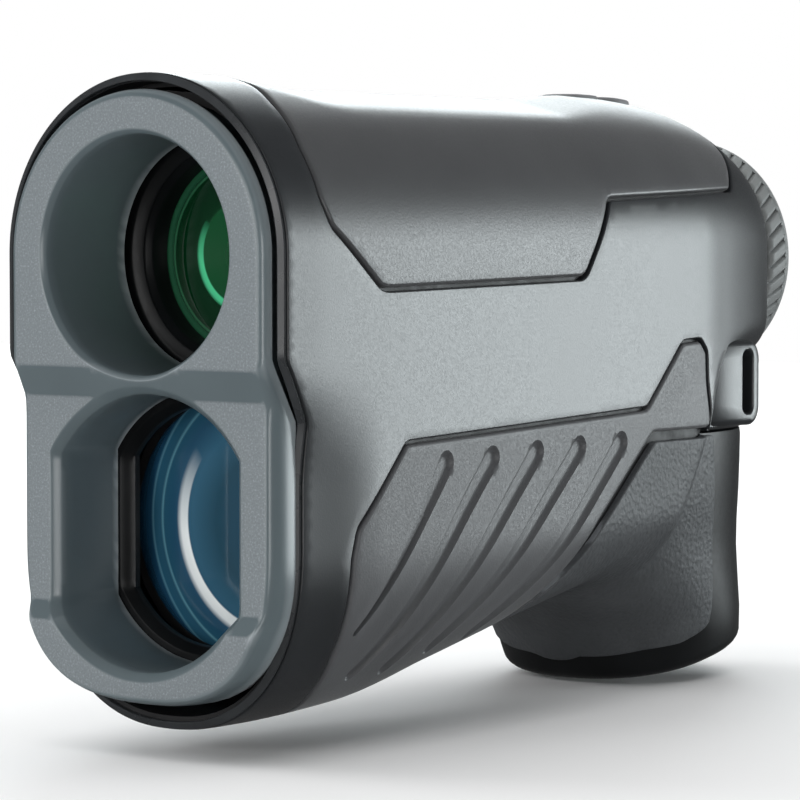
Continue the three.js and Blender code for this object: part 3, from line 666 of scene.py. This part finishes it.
def ramp(value, start, end, soft=0.05):
    """0 before start, 1 after end, straight between, with slightly softened corners."""
    t = (value - start) / (end - start)
    return -smooth_max(-smooth_max(t, 0 * t, soft), -np.ones_like(t), soft)


def face_y(z):
    """Front face: the upper part stands proud, and a lip below the window comes forward again."""
    return FACE_FRONT + FACE_STEP * ramp(z, FACE_TOP, FACE_DIP) - LIP_STEP * ramp(z, LIP_TOP, LIP_BOTTOM)


def back_y(z):
    """Where the hoods end: the lower one starts further forward."""
    return SIGHT_BACK + (WINDOW_BACK - SIGHT_BACK) * ramp(z, *BACK_CREASES, 0.01)


def casing_edge(z):
    return EDGE_HIGH + (EDGE_LOW - EDGE_HIGH) * ramp(z, EDGE_STEP_TOP, EDGE_STEP_BOTTOM)


def bezel_ring(grow, power, back):
    """One ring round the bezel; back goes from 0 at the face to 1 at its rear edge."""
    x, z = radial(lambda x, z: bezel_level(x, z, grow, power), BEZEL_ANGLES)
    front = face_y(z)
    return np.stack([x, front + back * (casing_edge(z) - 0.4 - front), z], -1)


def window_ring(radius, half, y_of):
    """Circle with its sides cut flat, always with the same count of points on arcs and flats."""
    corner = math.asin(half / radius)
    arc = np.linspace(-corner, corner, 33)[:-1]
    flat = np.linspace(1, -1, 17)[:-1] * radius * math.cos(corner)
    side = np.full(16, half)
    x = np.concatenate([radius * np.sin(arc), side, -radius * np.sin(arc), -side])
    z = np.concatenate([radius * np.cos(arc), flat, -radius * np.cos(arc), -flat]) + RECEIVER_HEIGHT
    return np.stack(np.broadcast_arrays(x, y_of(z), z), -1)


def between_loops(points, loops):
    """Which points lie inside the first loop and outside the others."""
    first, *others = (inside_loop(points, loop) for loop in loops)
    return first & ~np.any(others, axis=0)


def split_line(line, loops):
    """Stretches of a line that lie between loops."""
    free = between_loops(line, loops) & (clearance(line, loops) > 0.35)
    runs = np.split(np.arange(len(line)), np.flatnonzero(np.diff(free)) + 1)
    return [line[run] for run in runs if free[run[0]] and len(run) > 1]


def pierced_sheet(rings, y_of, creases):
    """Sheet facing forward inside the first ring and outside the others, creased at the given heights."""
    loops = [ring[:, [0, 2]] for ring in rings]
    rows = [(loop, 0, True) for loop in loops]
    for crease in creases:
        line = np.stack([np.arange(-18, 18.1, 0.6), np.full(61, crease)], -1)
        rows.extend((part, 0, False) for part in split_line(line, loops))
    grid = hex_grid(loops[0].min(0), loops[0].max(0), 1.1)
    grid = grid[between_loops(grid, loops)]
    flat, _, faces = triangulate(rows, grid, lambda centres: between_loops(centres, loops), 0.5)
    x, z = flat.T
    return np.stack([x, y_of(z), z], -1), faces


def join_parts(parts):
    """Several (points, faces) sets as one."""
    faces, start = [], 0
    for part_points, part_faces in parts:
        faces += [tuple(int(i) + start for i in face) for face in part_faces]
        start += len(part_points)
    return np.vstack([part[0] for part in parts]), faces


def flipped(points, faces):
    return points, [tuple(face)[::-1] for face in faces]


def hood(mouth):
    """Straight wall from a ring back to where the hoods end."""
    lengths = back_y(mouth[:, 2]) - mouth[:, 1]
    return [mouth + np.outer(share * lengths, (0, 1, 0)) for share in np.linspace(0.125, 1, 8)]


def bezel():
    """Front bezel with its stepped face, side bevel and the walls of both hoods."""
    side = [bezel_ring(grow, power, back) for grow, power, back in (
        (-0.8, 2.8, 0), (-0.55, 2.8, 0.006), (-0.35, 2.78, 0.03), (-0.2, 2.75, 0.065), (0, 2.7, 0.13),
        (0.22, 2.6, 0.24), (0.4, 2.52, 0.42), (0.5, 2.5, 0.7), (0.52, 2.5, 1.0), (-1.3, 2.5, 1.0))]
    x, _, z = side[-1].T
    side.append(np.stack([x, back_y(z), z], -1))
    sight, window = [], []
    for grow, deep in ((0.65, 0), (0.5, 0.03), (0.4, 0.12), (0.08, 0.62), (0, 0.8), (0, 2.2)):
        x, _, z = round_ring(APERTURE_RADIUS + grow, 0, SIGHT_HEIGHT, circle(96)).T
        sight.append(np.stack([x, face_y(z) + deep, z], -1))
    for grow, deep in ((1.1, 0), (0.95, 0.03), (0.8, 0.15), (0.12, 0.85), (0, 1.1), (0, 3.0)):
        window.append(window_ring(WINDOW_RADIUS + grow, WINDOW_HALF + grow, lambda z: face_y(z) + deep))
    sight += hood(sight[-1])
    window += hood(window[-1])
    creases = [level + gap for level in FACE_CREASES for gap in (-0.3, 0, 0.3)]
    return join_parts([
        pierced_sheet((side[0], sight[0], window[0]), face_y, creases),
        flipped(*pierced_sheet((side[-1], sight[-1], window[-1]), back_y, BACK_CREASES)),
        loft(side, closed_ends=False),
        flipped(*loft(sight, closed_ends=False)),
        flipped(*loft(window, closed_ends=False)),
    ])


def rim():
    """Black bevelled band just ahead of the casing, following its stepped edge."""
    rings = []
    for inset, ahead in ((0.9, -2.0), (0.25, -2.0), (0.25, 0.0), (0.1, 0.08), (0.06, 0.18), (0.12, 0.3),
                         (0.72, 0.6), (0.8, 0.6), (0.85, 0.54), (0.87, 0.4), (0.87, -2.0)):
        x, z = radial(lambda x, z: body_field(x, casing_edge(z), z) + inset, BEZEL_ANGLES)
        rings.append(np.stack([x, casing_edge(z) - ahead, z], -1))
    return hoop(rings)


def lens(radius, front, height, thick=4, bulge=0.15):
    """Lens with a domed front and a flat ground edge."""
    profile = [(radius * t, front + bulge * t * t) for t in np.linspace(0.02, 1, 14)]
    profile += [(radius + 0.3, front + bulge + 0.25), (radius + 0.3, front + thick - 0.3),
                (radius, front + thick), (0.02 * radius, front + thick)]
    return loft(turned(profile, height))


# ---------- eyepiece, buttons, lug


RING_FRONT, RING_LONG, RING_RADIUS = 51.4, 5.1, 15.65
RIB_COUNT, RIB_DEPTH, RIB_SLANT = 47, 0.55, 0.24


def dioptre_ring():
    """Ring with slanted ribs that stop short of a smooth rear edge."""
    profile = [(13.8, 0, 0), (14.9, 0, 0), (15.25, 0.08, 0), (15.5, 0.3, 0.6)]
    profile += [(RING_RADIUS, y, 1.0) for y in np.linspace(0.55, RING_LONG - 1.5, 10)]
    profile += [(radius, RING_LONG - y, ribs) for radius, y, ribs in (
        (RING_RADIUS, 1.3, 0.7), (RING_RADIUS, 1.45, 0.3), (RING_RADIUS, 1.0, 0), (15.55, 0.55, 0),
        (15.3, 0.2, 0), (14.9, 0.03, 0), (14.5, 0, 0), (12.3, 0, 0), (12.3, 0.7, 0), (13.8, 0.7, 0))]
    angles = circle(RIB_COUNT * 14)
    rings = []
    for radius, y, ribs in profile:
        phase = (angles * RIB_COUNT / (2 * math.pi) + y * RIB_SLANT) % 1
        groove = ease(1 - np.abs(phase - 0.5) / 0.17, 0, 1)
        rings.append(round_ring(radius - ribs * RIB_DEPTH * groove, RING_FRONT + y, EYE_HEIGHT, angles))
    return hoop(rings)


def eyecup():
    profile = [(10.7, 56.6), (13.1, 56.6), (13.35, 56.8), (13.4, 57.3), (13.3, 58.4), (13.05, 58.95),
               (12.6, 59.25), (12.0, 59.3), (11.4, 59.1), (10.95, 58.6), (10.7, 57.8)]
    return hoop(turned(profile, EYE_HEIGHT))


def sight_ring():
    """Black stepped ring that holds the sighting objective."""
    profile = [(15, -44.1), (13.6, -44.1), (13.2, -44.0), (12.3, -43.35), (12.1, -43.4), (12.0, -43.2),
               (11.5, -42.8), (11.35, -42.4), (11.35, -40.2), (15, -40.2)]
    return hoop(turned(profile, SIGHT_HEIGHT, 128))


def receiver_frame():
    """Black frame with flat sides in front of the receiver lens."""
    return hoop([window_ring(radius, half, lambda z: y) for radius, half, y in (
        (15.9, 14.3, -46.95), (14.9, 12.9, -46.95), (14.7, 12.7, -46.9), (13.9, 11.7, -46.0),
        (13.8, 11.5, -45.8), (13.8, 11.5, -45.0), (15.9, 14.3, -45.0))])


def button(centre, long, wide, top, crown):
    """Low button with a rounded rim, its top leaning with the roof."""
    def ring(grow, height, lean=crown):
        x, y = superellipse(long + 2 * grow, wide + 2 * grow, 64)
        return np.stack([x, centre + y, height + lean * y], -1)

    return loft([ring(0, BUTTON_BASE, 0)] + [ring(grow, top - drop) for grow, drop in (
        (0, 1.2), (0, 0.4), (-0.08, 0.18), (-0.25, 0.06), (-0.6, 0), (-1.6, 0.04), (-long / 3.2, 0.12))])


LUG_INNER, LUG_OUTER, LUG_FRONT, LUG_REAR, LUG_LOW, LUG_HIGH = 15.6, 20.3, 30.2, 41.6, 31.2, 42.2
SLOT_FRONT, SLOT_REAR, SLOT_LOW, SLOT_HIGH = 36.8, 39.4, 32.8, 40.9


def rounded_box_loop(front, rear, low, high, radius):
    """Rounded rectangle as (y, z) points."""
    points = []
    for y, z, start in ((rear - radius, high - radius, 0), (front + radius, high - radius, 90),
                        (front + radius, low + radius, 180), (rear - radius, low + radius, 270)):
        t = np.radians(start + np.linspace(0, 90, 10))
        points.append(np.stack([y + radius * np.cos(t), z + radius * np.sin(t)], -1))
    return np.vstack(points)


def lanyard_lug():
    """Rounded tab that grows out of the neck, with a slot for a cord."""
    outside = rounded_box_loop(LUG_FRONT, LUG_REAR, LUG_LOW, LUG_HIGH, 2.4)
    slot = rounded_box_loop(SLOT_FRONT, SLOT_REAR, SLOT_LOW, SLOT_HIGH, 1.05)

    def ring(loop, grow, inset=None):
        """A loop grown outward, at the tab's bowed outer face or, without an inset, at its root."""
        away = loop - loop.mean(0)
        y, z = (loop + away / np.linalg.norm(away, axis=1)[:, None] * grow).T
        lean = 1.6 * ease(LUG_FRONT + 8 - y, 0, 8) + 0.012 * (y - 36) ** 2
        x = np.full_like(y, LUG_INNER) if inset is None else LUG_OUTER - inset - lean
        return np.stack([x, y, z], -1)

    rings = [ring(outside, 0)]
    rings += [ring(outside, -0.9 * (1 - math.cos(t)), 0.9 * (1 - math.sin(t)))
              for t in np.radians([0, 25, 50, 70, 90])]
    rings += [ring(slot, 0.35 * (1 - math.cos(t)), 0.35 * (1 - math.sin(t)))
              for t in np.radians([90, 60, 30, 0])]
    return hoop(rings + [ring(slot, 0)])


def neck_collar():
    """Rear wall of the casing round the eyepiece."""
    outer = inside_skin(BODY_REAR - 0.2, circle(144), 0.85)
    x, _, z = outer.T
    hole = round_ring(13.7, BODY_REAR, EYE_HEIGHT, np.arctan2(x, z - EYE_HEIGHT))
    rings = []
    for ring, inset in ((outer, 1.2), (outer, 0.02), (hole, 0.02), (hole, 1.2)):
        x, _, z = ring.T
        rings.append(np.stack([x, np.full_like(x, BODY_REAR - inset), z], -1))
    return hoop(rings)


# ---------- materials


class Finish:
    """A procedural material built up from a Principled shader."""

    def __init__(self, name, **sockets):
        self.material = bpy.data.materials.new(name)
        self.material.use_nodes = True
        self.nodes = self.material.node_tree.nodes
        self.links = self.material.node_tree.links
        self.shader = self.nodes["Principled BSDF"]
        for socket, value in sockets.items():
            self.shader.inputs[socket.replace("_", " ")].default_value = value
        self.place = self.nodes.new("ShaderNodeTexCoord").outputs["Object"]

    def node(self, kind, **settings):
        made = self.nodes.new("ShaderNode" + kind)
        for key, value in settings.items():
            setattr(made, key, value)
        return made

    def feed(self, sockets, values):
        """Sets each socket to its number or colour, or links the output given for it."""
        for socket, value in zip(sockets, values):
            if isinstance(value, tuple):
                socket.default_value = (*value, 1)
            elif isinstance(value, (int, float)):
                socket.default_value = value
            else:
                self.links.new(value, socket)

    def noise(self, scale, detail):
        """Noise with this many lumps to the metre."""
        made = self.node("TexNoise")
        inputs = made.inputs
        self.feed((inputs["Vector"], inputs["Scale"], inputs["Detail"]), (self.place, scale, detail))
        return made.outputs["Fac"]

    def ramp(self, value, *stops):
        """Colour ramp; each stop is (place, grey or colour)."""
        made = self.node("ValToRGB")
        band = made.color_ramp
        while len(band.elements) < len(stops):
            band.elements.new(0.5)
        for element, (place, tone) in zip(band.elements, stops):
            element.position = place
            element.color = (*tone, 1) if isinstance(tone, tuple) else (tone, tone, tone, 1)
        self.links.new(value, made.inputs["Fac"])
        return made.outputs["Color"]

    def between(self, value, low, high):
        """One grey or colour turning into another through the middle range of a noise."""
        return self.ramp(value, (0.3, low), (0.7, high))

    def math(self, operation, *values):
        made = self.node("Math", operation=operation)
        self.feed(made.inputs, values)
        return made.outputs[0]

    def mix(self, share, a, b):
        made = self.node("Mix", data_type="RGBA")
        self.feed([made.inputs[name] for name in ("Factor", "A", "B")], (share, a, b))
        return made.outputs["Result"]

    def surface(self, colour, roughness):
        self.feed([self.shader.inputs[name] for name in ("Base Color", "Roughness")], (colour, roughness))

    def bump(self, height, strength, distance):
        made = self.node("Bump")
        self.feed([made.inputs[name] for name in ("Strength", "Distance", "Height")],
                  (strength, distance * MM, height))
        self.links.new(made.outputs["Normal"], self.shader.inputs["Normal"])

    def edges(self, high=0.6):
        """1 along outward edges, 0 elsewhere: the mask for painted edge highlights."""
        return self.ramp(self.node("NewGeometry").outputs["Pointiness"], (0.52, 0.0), (high, 1.0))

    def facing_forward(self):
        """1 where a surface faces along the object's Y axis, 0 on its bevels and walls."""
        parts = self.node("SeparateXYZ")
        self.links.new(self.node("TexCoord").outputs["Normal"], parts.inputs[0])
        return self.ramp(self.math("ABSOLUTE", parts.outputs["Y"]), (0.93, 0.0), (0.985, 1.0))


def shell_finish():
    """Dark satin moulding with a fine even grain."""
    finish = Finish("satin_casing", Specular_IOR_Level=0.55)
    grain = finish.noise(5200, 2)
    tone = finish.ramp(finish.noise(70, 3), (0.3, (0.014, 0.016, 0.018)), (0.75, (0.02, 0.022, 0.025)))
    finish.surface(tone, finish.between(grain, 0.3, 0.4))
    finish.bump(grain, 0.25, 0.03)
    return finish.material


def bezel_finish():
    """Blue-grey moulding: fine speckle on the faces that look forward, smooth on its bevels and walls, and a
    painted highlight along its outward edges.
    """
    finish = Finish("speckled_bezel", Specular_IOR_Level=0.5)
    forward = finish.facing_forward()
    speck = finish.noise(4200, 4)
    fleck = finish.ramp(speck, (0.3, (0.15, 0.172, 0.185)), (0.55, (0.18, 0.205, 0.218)),
                        (0.72, (0.27, 0.3, 0.32)))
    smooth = finish.between(finish.noise(60, 3), (0.088, 0.112, 0.122), (0.102, 0.13, 0.141))
    # Painted highlight: outward edges are lightened to a pale blue-grey.
    tone = finish.mix(finish.edges(0.58), finish.mix(forward, smooth, fleck), (0.42, 0.46, 0.48))
    finish.surface(tone, finish.ramp(forward, (0.0, 0.28), (1.0, 0.42)))
    finish.bump(finish.math("MULTIPLY", speck, forward), 0.3, 0.05)
    return finish.material


def rubber_finish(name, dark, light, roughness=(0.5, 0.62)):
    """Warm grey soft-touch rubber with a fine matte grain and a painted highlight that lightens its outward
    edges.
    """
    finish = Finish(name, Specular_IOR_Level=0.55, Sheen_Weight=0.1, Sheen_Roughness=0.4)
    grain = finish.noise(3600, 3)
    broad = finish.math("MULTIPLY", finish.noise(90, 4), 0.65)
    tone = finish.between(finish.math("ADD", finish.math("MULTIPLY", grain, 0.35), broad), dark, light)
    # Painted highlight: a brighter copy of the light tone, laid along outward edges.
    edge_highlight_tone = tuple(min(1, c * 1.7) for c in light)
    tone = finish.mix(finish.math("MULTIPLY", finish.edges(), 0.5), tone, edge_highlight_tone)
    finish.surface(tone, finish.between(grain, *roughness))
    finish.bump(grain, 0.35, 0.05)
    return finish.material


def leather_finish():
    """Soft panel with a leather-like grain of small creased cells, and a painted highlight along its outward
    edges.
    """
    finish = Finish("leather_grain_rubber", Specular_IOR_Level=0.45)
    cells = finish.node("TexVoronoi", feature="SMOOTH_F1")
    finish.feed((cells.inputs["Vector"], cells.inputs["Scale"]), (finish.place, 1600))
    fine = finish.noise(3200, 4)
    broad = finish.math("MULTIPLY", finish.noise(160, 3), 0.5)
    tone = finish.between(finish.math("ADD", finish.math("MULTIPLY", fine, 0.5), broad),
                          (0.045, 0.049, 0.053), (0.07, 0.075, 0.08))
    # Painted highlight: outward edges are lightened to a pale grey.
    tone = finish.mix(finish.math("MULTIPLY", finish.edges(), 0.6), tone, (0.3, 0.32, 0.34))
    finish.surface(tone, finish.between(fine, 0.46, 0.6))
    creases = finish.math("MULTIPLY", cells.outputs["Distance"], 0.8)
    finish.bump(finish.math("ADD", creases, finish.math("MULTIPLY", fine, 0.4)), 0.85, 0.12)
    return finish.material


def gloss_black_finish(name, roughness, shine):
    finish = Finish(name, Specular_IOR_Level=shine)
    tone = finish.between(finish.noise(120, 3), (0.004, 0.0045, 0.005), (0.008, 0.009, 0.01))
    finish.surface(tone, finish.between(finish.noise(1500, 3), roughness, roughness + 0.08))
    finish.bump(finish.noise(900, 2), 0.12, 0.02)
    return finish.material


def plain_finish(name, dark, light, roughness, metallic=0.0, scale=600):
    """Moulded or machined part with slight mottling and a fine grain."""
    finish = Finish(name, Metallic=metallic)
    mottle = finish.noise(scale, 4)
    finish.surface(finish.between(mottle, dark, light), finish.between(mottle, roughness, roughness + 0.12))
    finish.bump(finish.noise(scale * 5, 2), 0.2, 0.02)
    return finish.material


def lens_finish(name, centre, stops, ring):
    """Tinted lens: colour by distance from a centre (x, z), with lighter rings that are painted reflections,
    a painted highlight crescent low on one side, and a painted glow from emitting its own colour.
    """
    # The emission is a painted glow: the lens gives off its own colour though it is no lamp.
    finish = Finish(name, Specular_IOR_Level=0.6, Coat_Weight=1.0, Coat_Roughness=0.02,
                    Emission_Strength=0.12)
    shift = finish.node("Mapping")
    shift.inputs["Location"].default_value = (-centre[0] * MM, 0, -(centre[1] + LIFT) * MM)
    flat = finish.node("Mapping")
    flat.inputs["Scale"].default_value = (1, 0, 1)
    length = finish.node("VectorMath", operation="LENGTH")
    aside = finish.node("VectorMath", operation="DOT_PRODUCT")
    aside.inputs[1].default_value = (-0.83, 0, -0.56)
    for output, node in ((finish.place, shift), (shift.outputs[0], flat), (flat.outputs[0], length),
                         (flat.outputs[0], aside)):
        finish.links.new(output, node.inputs[0])
    reach = 20  # millimetres across a whole ramp
    radius, side = (finish.math("MULTIPLY", node.outputs["Value"], 1 / (reach * MM))
                    for node in (length, aside))
    # Tint ramp with lighter and darker rings that are painted reflections.
    tint_and_painted_rings = finish.ramp(radius, *((r / reach, colour) for r, colour in stops))
    # Painted highlight: a bright crescent band, strongest low on one side.
    inner, outer, crescent_highlight_colour = ring
    band = finish.ramp(radius, ((inner - 0.15) / reach, 0.0), (inner / reach, 1.0),
                       ((inner * 0.4 + outer * 0.6) / reach, 0.85), (outer / reach, 0.0))
    low_side = finish.ramp(side, (0.35 * inner / reach, 0.0), (0.95 * inner / reach, 1.0))
    tone = finish.mix(finish.math("MULTIPLY", band, low_side), tint_and_painted_rings, crescent_highlight_colour)
    finish.surface(tone, finish.between(finish.noise(300, 2), 0.04, 0.07))
    # Painted glow: the whole lens colour, highlights included, is emitted.
    finish.links.new(tone, finish.shader.inputs["Emission Color"])
    return finish.material


def glass_finish(name, tint):
    """Clear inner glass."""
    finish = Finish(name, Transmission_Weight=1.0, IOR=1.5)
    tone = finish.between(finish.noise(200, 2), tint, tuple(min(1, c * 1.05) for c in tint))
    finish.surface(tone, finish.between(finish.noise(400, 2), 0.02, 0.05))
    return finish.material


# ---------- assembly


def build_pieces(finishes):
    """Name, shape, finish, slot and replaced nodes of each piece, then its body and crease angle."""
    shell, grip = shell_half(), grip_patch()
    fire, mode = BUTTONS
    for name, shape, finish, *rest in (
        ("bezel_shell", bezel(), "bezel", "bezel", ["front_bezel"], "housing", 35),
        ("rim_band", rim(), "rim", "rim", ["front_rim"], "housing", 18),
        ("sight_retainer", sight_ring(), "lens_black", "black_part", ["sight_lens_ring"]),
        ("receiver_surround", receiver_frame(), "lens_black", "black_part", ["receiver_frame"],
         "housing", 30),
        ("sight_lens", lens(12.7, -40.1, SIGHT_HEIGHT), "sight_glass", "sight_glass", ["sight_objective"]),
        ("receiver_glass", lens(14.4, -42.0, RECEIVER_HEIGHT), "receiver_glass", "receiver_glass",
         ["receiver_lens"]),
        ("left_casing", shell, "shell", "housing", ["left_shell"]),
        ("right_casing", mirrored(*shell), "shell", "housing", ["right_shell"]),
        ("casing_lining", inner_tube(), "matte_black", "housing"),
        ("neck_collar", neck_collar(), "shell", "housing"),
        ("pod_saddle", pod_saddle(), "shell", "housing"),
        ("soft_cover", cover_patch(), "cover", "cover", ["top_cover"]),
        ("left_fluted_grip", grip, "grip", "grip", ["left_grip"]),
        ("right_fluted_grip", mirrored(*grip), "grip", "grip", ["right_grip"]),
        ("pod_wrap", pod_pad_patch(), "leather", "pod_pad", ["left_pod_pad", "right_pod_pad"]),
        ("pod_moulding", pod_core(), "pod", "pod", ["pod_core"]),
        ("lanyard_tab", lanyard_lug(), "shell", "housing", ["lanyard_lug"]),
        ("ribbed_ring", dioptre_ring(), "ring", "ring", ["dioptre_ring"], "dioptre_ring", 60),
        ("eye_guard", eyecup(), "eyecup", "eyecup", ["eyecup"], "dioptre_ring"),
        ("fire_key", button(*fire, 73.9, -0.02), "button", "button", ["fire_button"], "fire_button"),
        ("mode_key", button(*mode, 73.6, -0.08), "button", "button", ["mode_button"], "mode_button"),
    ):
        add_piece(name, shape, finishes[finish], *rest)


def dress_frame(finishes):
    """The CAD nodes that keep their own meshes."""
    dressed = {
        "rubber_black": ["bezel_gasket", "cap_seal"],
        "matte_black": ["sight_barrel", "prism_cage", "receiver_cone", "eyepiece_sleeve", "ocular_cell",
                        "battery_liner"],
        "steel": ["shell_screw_1", "shell_screw_2", "shell_screw_3", "fire_switch", "mode_switch"],
        "clear_glass": ["focus_lens", "erecting_prism", "roof_prism", "field_lens", "eye_lens"],
        "display": ["display_cell"],
        "board": ["main_board", "detector_board", "button_board"],
        "chip": ["processor", "laser_driver"],
        "gold": ["laser_diode", "positive_contact", "contact_spring"],
        "tin": ["detector_can"],
        "sleeve_blue": ["supply_capacitor"],
        "battery_wrap": ["battery_cell"],
        "cap": ["cap_plug", "cap_knob"],
    }
    for finish, nodes in dressed.items():
        for node in nodes:
            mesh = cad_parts[node].data
            mesh.materials.clear()
            mesh.materials.append(finishes[finish])


def make_finishes():
    return {
        "shell": shell_finish(),
        "bezel": bezel_finish(),
        "cover": rubber_finish("soft_cover_rubber", (0.04, 0.041, 0.044), (0.055, 0.057, 0.06),
                               (0.34, 0.44)),
        "grip": rubber_finish("grip_rubber", (0.06, 0.062, 0.066), (0.08, 0.083, 0.088), (0.42, 0.54)),
        "leather": leather_finish(),
        "ring": rubber_finish("ring_rubber", (0.14, 0.15, 0.15), (0.19, 0.2, 0.2)),
        "eyecup": rubber_finish("eyecup_rubber", (0.012, 0.012, 0.013), (0.02, 0.02, 0.021)),
        "button": rubber_finish("button_rubber", (0.14, 0.145, 0.15), (0.18, 0.186, 0.192)),
        "rubber_black": rubber_finish("seal_rubber", (0.008, 0.008, 0.009), (0.014, 0.014, 0.015)),
        "rim": plain_finish("satin_rim", (0.022, 0.024, 0.026), (0.03, 0.033, 0.036), 0.24, 0.0, 200),
        "pod": gloss_black_finish("pod_black", 0.36, 0.22),
        "lens_black": gloss_black_finish("lens_mount_black", 0.3, 0.2),
        "matte_black": plain_finish("matte_black_plastic", (0.008, 0.008, 0.009), (0.014, 0.014, 0.015), 0.5),
        "cap": plain_finish("satin_black_cap", (0.012, 0.013, 0.014), (0.022, 0.023, 0.025), 0.35),
        "steel": plain_finish("brushed_steel", (0.45, 0.45, 0.46), (0.6, 0.6, 0.61), 0.28, 1.0),
        "gold": plain_finish("gold_plate", (0.62, 0.44, 0.18), (0.75, 0.56, 0.26), 0.25, 1.0),
        "tin": plain_finish("tinned_can", (0.6, 0.61, 0.62), (0.72, 0.73, 0.74), 0.22, 1.0),
        "board": plain_finish("circuit_board", (0.01, 0.09, 0.04), (0.02, 0.14, 0.06), 0.4, 0.0, 900),
        "chip": plain_finish("chip_package", (0.01, 0.01, 0.01), (0.03, 0.03, 0.03), 0.5),
        "sleeve_blue": plain_finish("capacitor_sleeve", (0.02, 0.04, 0.1), (0.03, 0.06, 0.14), 0.3),
        "battery_wrap": plain_finish("battery_wrap", (0.5, 0.32, 0.08), (0.62, 0.42, 0.12), 0.3, 0.4),
        "display": plain_finish("display_glass", (0.02, 0.03, 0.03), (0.04, 0.05, 0.05), 0.08),
        "clear_glass": glass_finish("clear_glass", (0.85, 0.92, 0.92)),
        # Lens tint stops include lighter rings that are painted reflections; the last entry is the painted
        # highlight crescent's inner radius, outer radius and colour.
        "sight_glass": lens_finish("sight_lens_tint_painted_highlights", (0, SIGHT_HEIGHT), [
            (0, (0.006, 0.07, 0.022)), (6.0, (0.008, 0.085, 0.028)), (6.4, (0.001, 0.03, 0.008)),
            (10.1, (0.001, 0.026, 0.008)), (10.3, (0.035, 0.15, 0.075)), (10.5, (0.008, 0.055, 0.025)),
            (11.0, (0.02, 0.1, 0.05)), (12.4, (0.016, 0.085, 0.04))], (6.0, 6.9, (0.1, 0.75, 0.36))),
        "receiver_glass": lens_finish("receiver_lens_tint_painted_highlights", (5.45, RECEIVER_HEIGHT + 0.4), [
            (0, (0.012, 0.062, 0.115)), (8, (0.014, 0.062, 0.1)), (11.5, (0.03, 0.11, 0.18)),
            (14.4, (0.016, 0.07, 0.13)), (15.9, (0.02, 0.085, 0.14)), (16.1, (0.1, 0.26, 0.33)),
            (16.4, (0.022, 0.085, 0.14)), (17.4, (0.02, 0.09, 0.15)), (17.6, (0.08, 0.22, 0.3)),
            (17.9, (0.012, 0.055, 0.11)), (19.4, (0.003, 0.018, 0.035))], (12.3, 13.9, (0.95, 1.0, 1.0))),
    }


# ---------- stage, light and camera


def soft_box(name, azimuth, height, distance, wide, tall, power, tint=(1, 1, 1)):
    """Area light at an angle round the object from the front, pointing at it."""
    lamp = bpy.data.lights.new(name, "AREA")
    lamp.shape = "RECTANGLE"
    lamp.size, lamp.size_y = wide, tall
    lamp.energy = power
    lamp.color = tint
    holder = bpy.data.objects.new(name, lamp)
    a = math.radians(azimuth)
    holder.location = Vector((distance * math.sin(a), -distance * math.cos(a), height))
    holder.rotation_euler = (Vector(LIGHT_AIM) - holder.location).to_track_quat("-Z", "Y").to_euler()
    bpy.context.scene.collection.objects.link(holder)
    return holder


LIGHT_AIM = (0, 0, 0.038)
CAMERA_AZIMUTH, CAMERA_HEIGHT, CAMERA_DISTANCE = 36.85, 2.85, 440.39
CAMERA_TARGET = (-6.17, -1.8, 37.5)
CAMERA_LENS = 158.92


def make_camera():
    a, e = math.radians(CAMERA_AZIMUTH), math.radians(CAMERA_HEIGHT)
    back = Vector((math.sin(a) * math.cos(e), -math.cos(a) * math.cos(e), math.sin(e)))
    data = bpy.data.cameras.new("camera")
    data.lens = CAMERA_LENS
    data.sensor_width = 36
    data.clip_start = 0.01
    camera = bpy.data.objects.new("camera", data)
    camera.location = (Vector(CAMERA_TARGET) + back * CAMERA_DISTANCE) * MM
    camera.rotation_mode = "QUATERNION"
    camera.rotation_quaternion = back.to_track_quat("Z", "Y")
    bpy.context.scene.collection.objects.link(camera)
    bpy.context.scene.camera = camera


def make_floor():
    finish = Finish("pale_stage", Specular_IOR_Level=0.2)
    finish.surface(finish.between(finish.noise(3, 2), 0.86, 0.9),
                   finish.between(finish.noise(20, 2), 0.7, 0.8))
    mesh = bpy.data.meshes.new("floor")
    half = 0.95
    mesh.from_pydata([(x, y, 0) for x, y in ((-half, -half), (half, -half), (half, half), (-half, half))],
                     [], [(0, 1, 2, 3)])
    mesh.materials.append(finish.material)
    floor = bpy.data.objects.new("floor", mesh)
    bpy.context.scene.collection.objects.link(floor)
    floor.visible_glossy = False


def make_lights():
    cool = (0.9, 0.98, 1.0)
    soft_box("side_window", 143, 0.06, 1.2, 0.6, 0.5, 10, cool)
    soft_box("front_window", -4, 0.2, 1.2, 0.8, 0.8, 8)
    left = soft_box("left_window", -76, 0.5, 1.2, 0.7, 0.5, 6)
    soft_box("right_fill", 54, 0.0, 1.2, 0.4, 0.5, 5)
    soft_box("rear_window", 214, 0.56, 1.3, 0.6, 0.4, 5, cool)
    overhead = soft_box("overhead", 217, 1.6, 0.5, 3, 3, 46)
    left.visible_glossy = overhead.visible_glossy = False


def light_world():
    """White to look at, dim as a source of light."""
    world = bpy.data.worlds.new("studio")
    bpy.context.scene.world = world
    world.use_nodes = True
    nodes, links = world.node_tree.nodes, world.node_tree.links
    seen = nodes.new("ShaderNodeLightPath")
    strength = nodes.new("ShaderNodeMapRange")
    strength.inputs["To Min"].default_value = 0.12
    strength.inputs["To Max"].default_value = 1.0
    links.new(seen.outputs["Is Camera Ray"], strength.inputs["Value"])
    nodes["Background"].inputs["Color"].default_value = (1, 1, 1, 1)
    links.new(strength.outputs["Result"], nodes["Background"].inputs["Strength"])


finishes = make_finishes()
build_pieces(finishes)
dress_frame(finishes)
make_camera()
make_floor()
light_world()
make_lights()
bpy.context.scene.view_settings.view_transform = "Standard"
